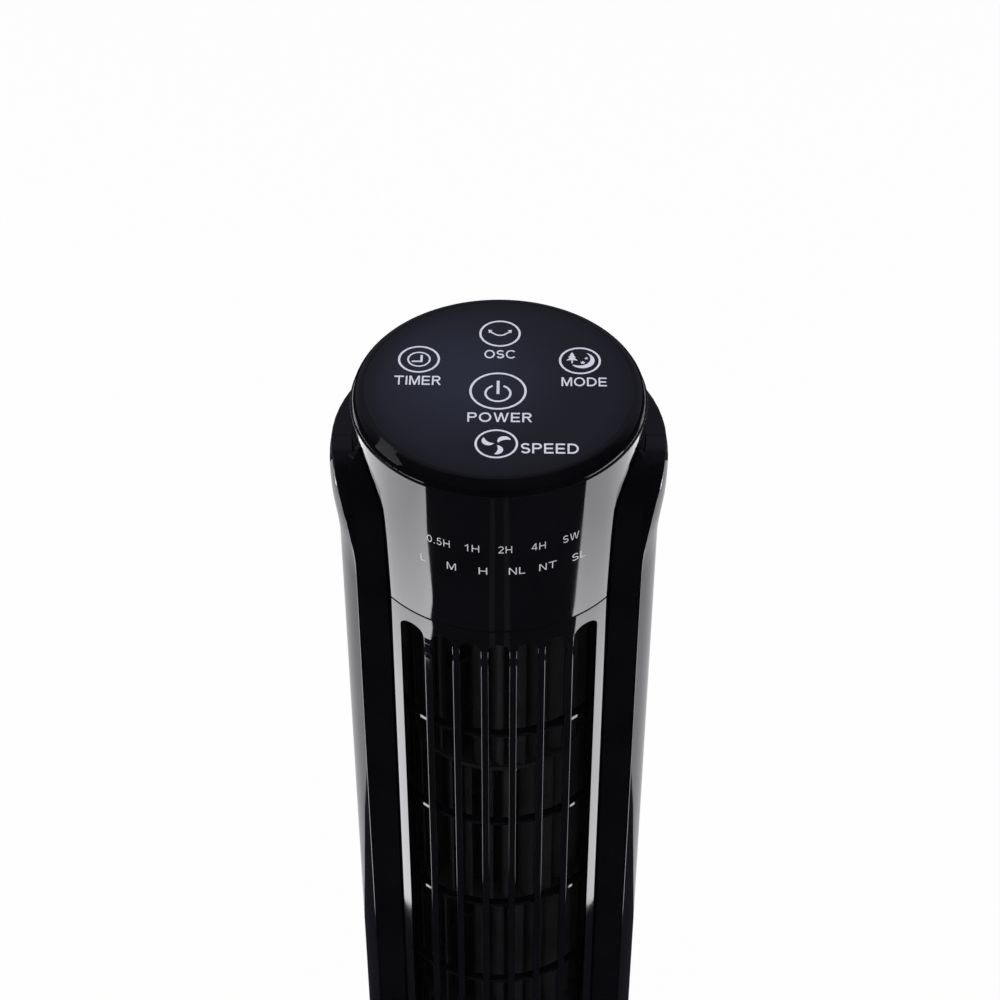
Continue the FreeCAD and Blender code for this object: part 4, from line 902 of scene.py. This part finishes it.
# %% Panels
panel_back = [(0.07, 0.002), (0.07, 0.34), (0.20, 0.345), (0.30, 0.315), (0.43, 0.255), (0.43, 0.38),
              (0.20, 0.46)]
left_outline = [(-0.262, 0.46), (-0.272, 0.34), (-0.268, 0.30), (-0.296, 0.222), (-0.22, 0.208),
                (-0.16, 0.19), (-0.13, 0.002)] + panel_back
right_outline = [(-0.150, 0.46), (-0.164, 0.39), (-0.185, 0.33), (-0.208, 0.27), (-0.235, 0.222),
                 (-0.17, 0.208), (-0.12, 0.19), (-0.11, 0.002)] + panel_back
panels = {
    "left_panel": (-PANEL_X, left_outline, panel_glow(-0.29, 6.1, 4.5)),
    "right_panel": (PANEL_X, right_outline, panel_glow(-0.20, 5.0, 3.8)),
}
hang_lights(panels)
print(len(panels), "panels,", PANEL_X, "m to each side")

# %% Weaker lights
STRIP_ENDS = (-0.86, -0.62)
STRIP_GLOW = 0.085
window_outline = [(0.0, 0.675), (0.0, 0.84), (0.03, 0.942), (0.08, 1.035), (0.165, 1.16), (0.35, 1.36),
                  (0.56, 1.577), (0.60, 1.77), (0.289, 1.458), (0.053, 1.209), (-0.028, 1.076),
                  (-0.086, 0.978), (-0.136, 0.905), (-0.163, 0.843), (-0.175, 0.80), (-0.145, 0.675)]
rim_outline = [(-0.21, 0.463), (-0.21, 0.50), (-0.10, 0.56), (-0.035, 0.585), (0.03, 0.585),
               (0.09, 0.463)]
edge_outline = [(0.21, 0.465), (0.44, 0.385), (0.60, 0.36), (0.60, 0.52), (0.25, 0.54)]
weaker_lights = {
    "far_window": (-PANEL_X, window_outline, 0.6),
    "right_rim_light": (PANEL_X, rim_outline, 2.4),
    "left_edge_light": (-PANEL_X, edge_outline, 0.9),
    "right_edge_light": (PANEL_X, edge_outline, 0.6),
}
lay_light("back_light", (-1.0, 1.0), (0.30, 0.80), 2, 0.6)
hang_lights(weaker_lights)
lay_light("left_floor_strip", (-0.092, -0.042), STRIP_ENDS, 3, STRIP_GLOW)
lay_light("right_floor_strip", (0.054, 0.106), STRIP_ENDS, 3, STRIP_GLOW)
print(len(weaker_lights), "weaker lights beside the fan, and three on the floor")

# %% [markdown]
# ## Lamps and room
#
# A broad lamp overhead, one in front and two at the back give plain even light. They light the
# surfaces but stay out of the reflections, where they would draw hard white patches. The room is white
# to the camera, pale for even light, and nearly black in reflections, a little lighter behind the fan
# than in front of it.

# %% Lamps and world
def soft_lamp(name, place, target, width, height, radiance):
    """Rectangular lamp of a given brightness, turned to a target. Power is radiance * area * pi."""
    data = bpy.data.lights.new(name, "AREA")
    data.shape = "RECTANGLE"
    data.size = width
    data.size_y = height
    data.energy = radiance * width * height * math.pi
    lamp = new_object(name, data)
    aim = (Vector(target) - Vector(place)).to_track_quat("-Z", "Y")
    lamp.matrix_world = Matrix.Translation(place) @ aim.to_matrix().to_4x4()
    lamp.visible_camera = False
    lamp.visible_glossy = False


soft_lamp("overhead", (0.0, -0.2, 2.6), (0, 0, 0.4), 2.4, 1.6, 1.6)
soft_lamp("front_fill", (0.0, -2.2, 1.5), (0, 0, 0.5), 1.8, 1.2, 1.3)
for side in (-1, 1):
    soft_lamp("back_fill", (side * 1.4, 1.2, 1.2), (0, 0, 0.4), 1.0, 1.4, 1.2)

world = bpy.data.worlds.new("studio")
world.use_nodes = True
bpy.context.scene.world = world
tree = world.node_tree


def background(colour):
    """Light of the room: one colour, or a colour that comes from a socket."""
    node = tree.nodes.new("ShaderNodeBackground")
    if isinstance(colour, tuple):
        node.inputs["Color"].default_value = (*colour, 1)
    else:
        tree.links.new(colour, node.inputs["Color"])
    return node.outputs["Background"]


def either(flag, without, with_it):
    """One shader where the flag is 0, and the other where it is 1."""
    mix = tree.nodes.new("ShaderNodeMixShader")
    tree.links.new(flag, mix.inputs["Fac"])
    tree.links.new(without, mix.inputs[1])
    tree.links.new(with_it, mix.inputs[2])
    return mix.outputs["Shader"]


direction = tree.nodes.new("ShaderNodeTexCoord")
axes = tree.nodes.new("ShaderNodeSeparateXYZ")
tree.links.new(direction.outputs["Generated"], axes.inputs["Vector"])
backward = map_range(tree, axes.outputs["Y"], (-1, 1), (0, 1)).outputs["Result"]
front_dark, back_dark = (0.02, 0.02, 0.025), (0.15, 0.14, 0.19)
mirrored = background(ramp(tree, backward, [(0.0, front_dark), (0.55, front_dark), (0.8, back_dark)]))
seen = tree.nodes.new("ShaderNodeLightPath")
room = either(seen.outputs["Is Glossy Ray"], background((0.34, 0.34, 0.35)), mirrored)
room = either(seen.outputs["Is Camera Ray"], room, background((1.0, 1.0, 1.0)))
tree.links.new(room, tree.nodes["World Output"].inputs["Surface"])
bpy.context.scene.view_settings.view_transform = "Standard"

# %% [markdown]
# ## Camera
#
# A long lens looks down on the head from in front, a little over a metre away.

# %% Camera
TILT = math.radians(42.67)
look_at = Vector((0.0005, 0.0, 0.69553))
distance = 1.0711
camera_data = bpy.data.cameras.new("camera")
camera_data.lens = 86.4
camera_data.sensor_width = 36.0
camera = new_object("camera", camera_data)
camera.location = look_at + distance * Vector((0, -math.cos(TILT), math.sin(TILT)))
camera.rotation_euler = (math.pi / 2 - TILT, 0, 0)
bpy.context.scene.camera = camera
print("camera at", [round(v, 3) for v in camera.location])
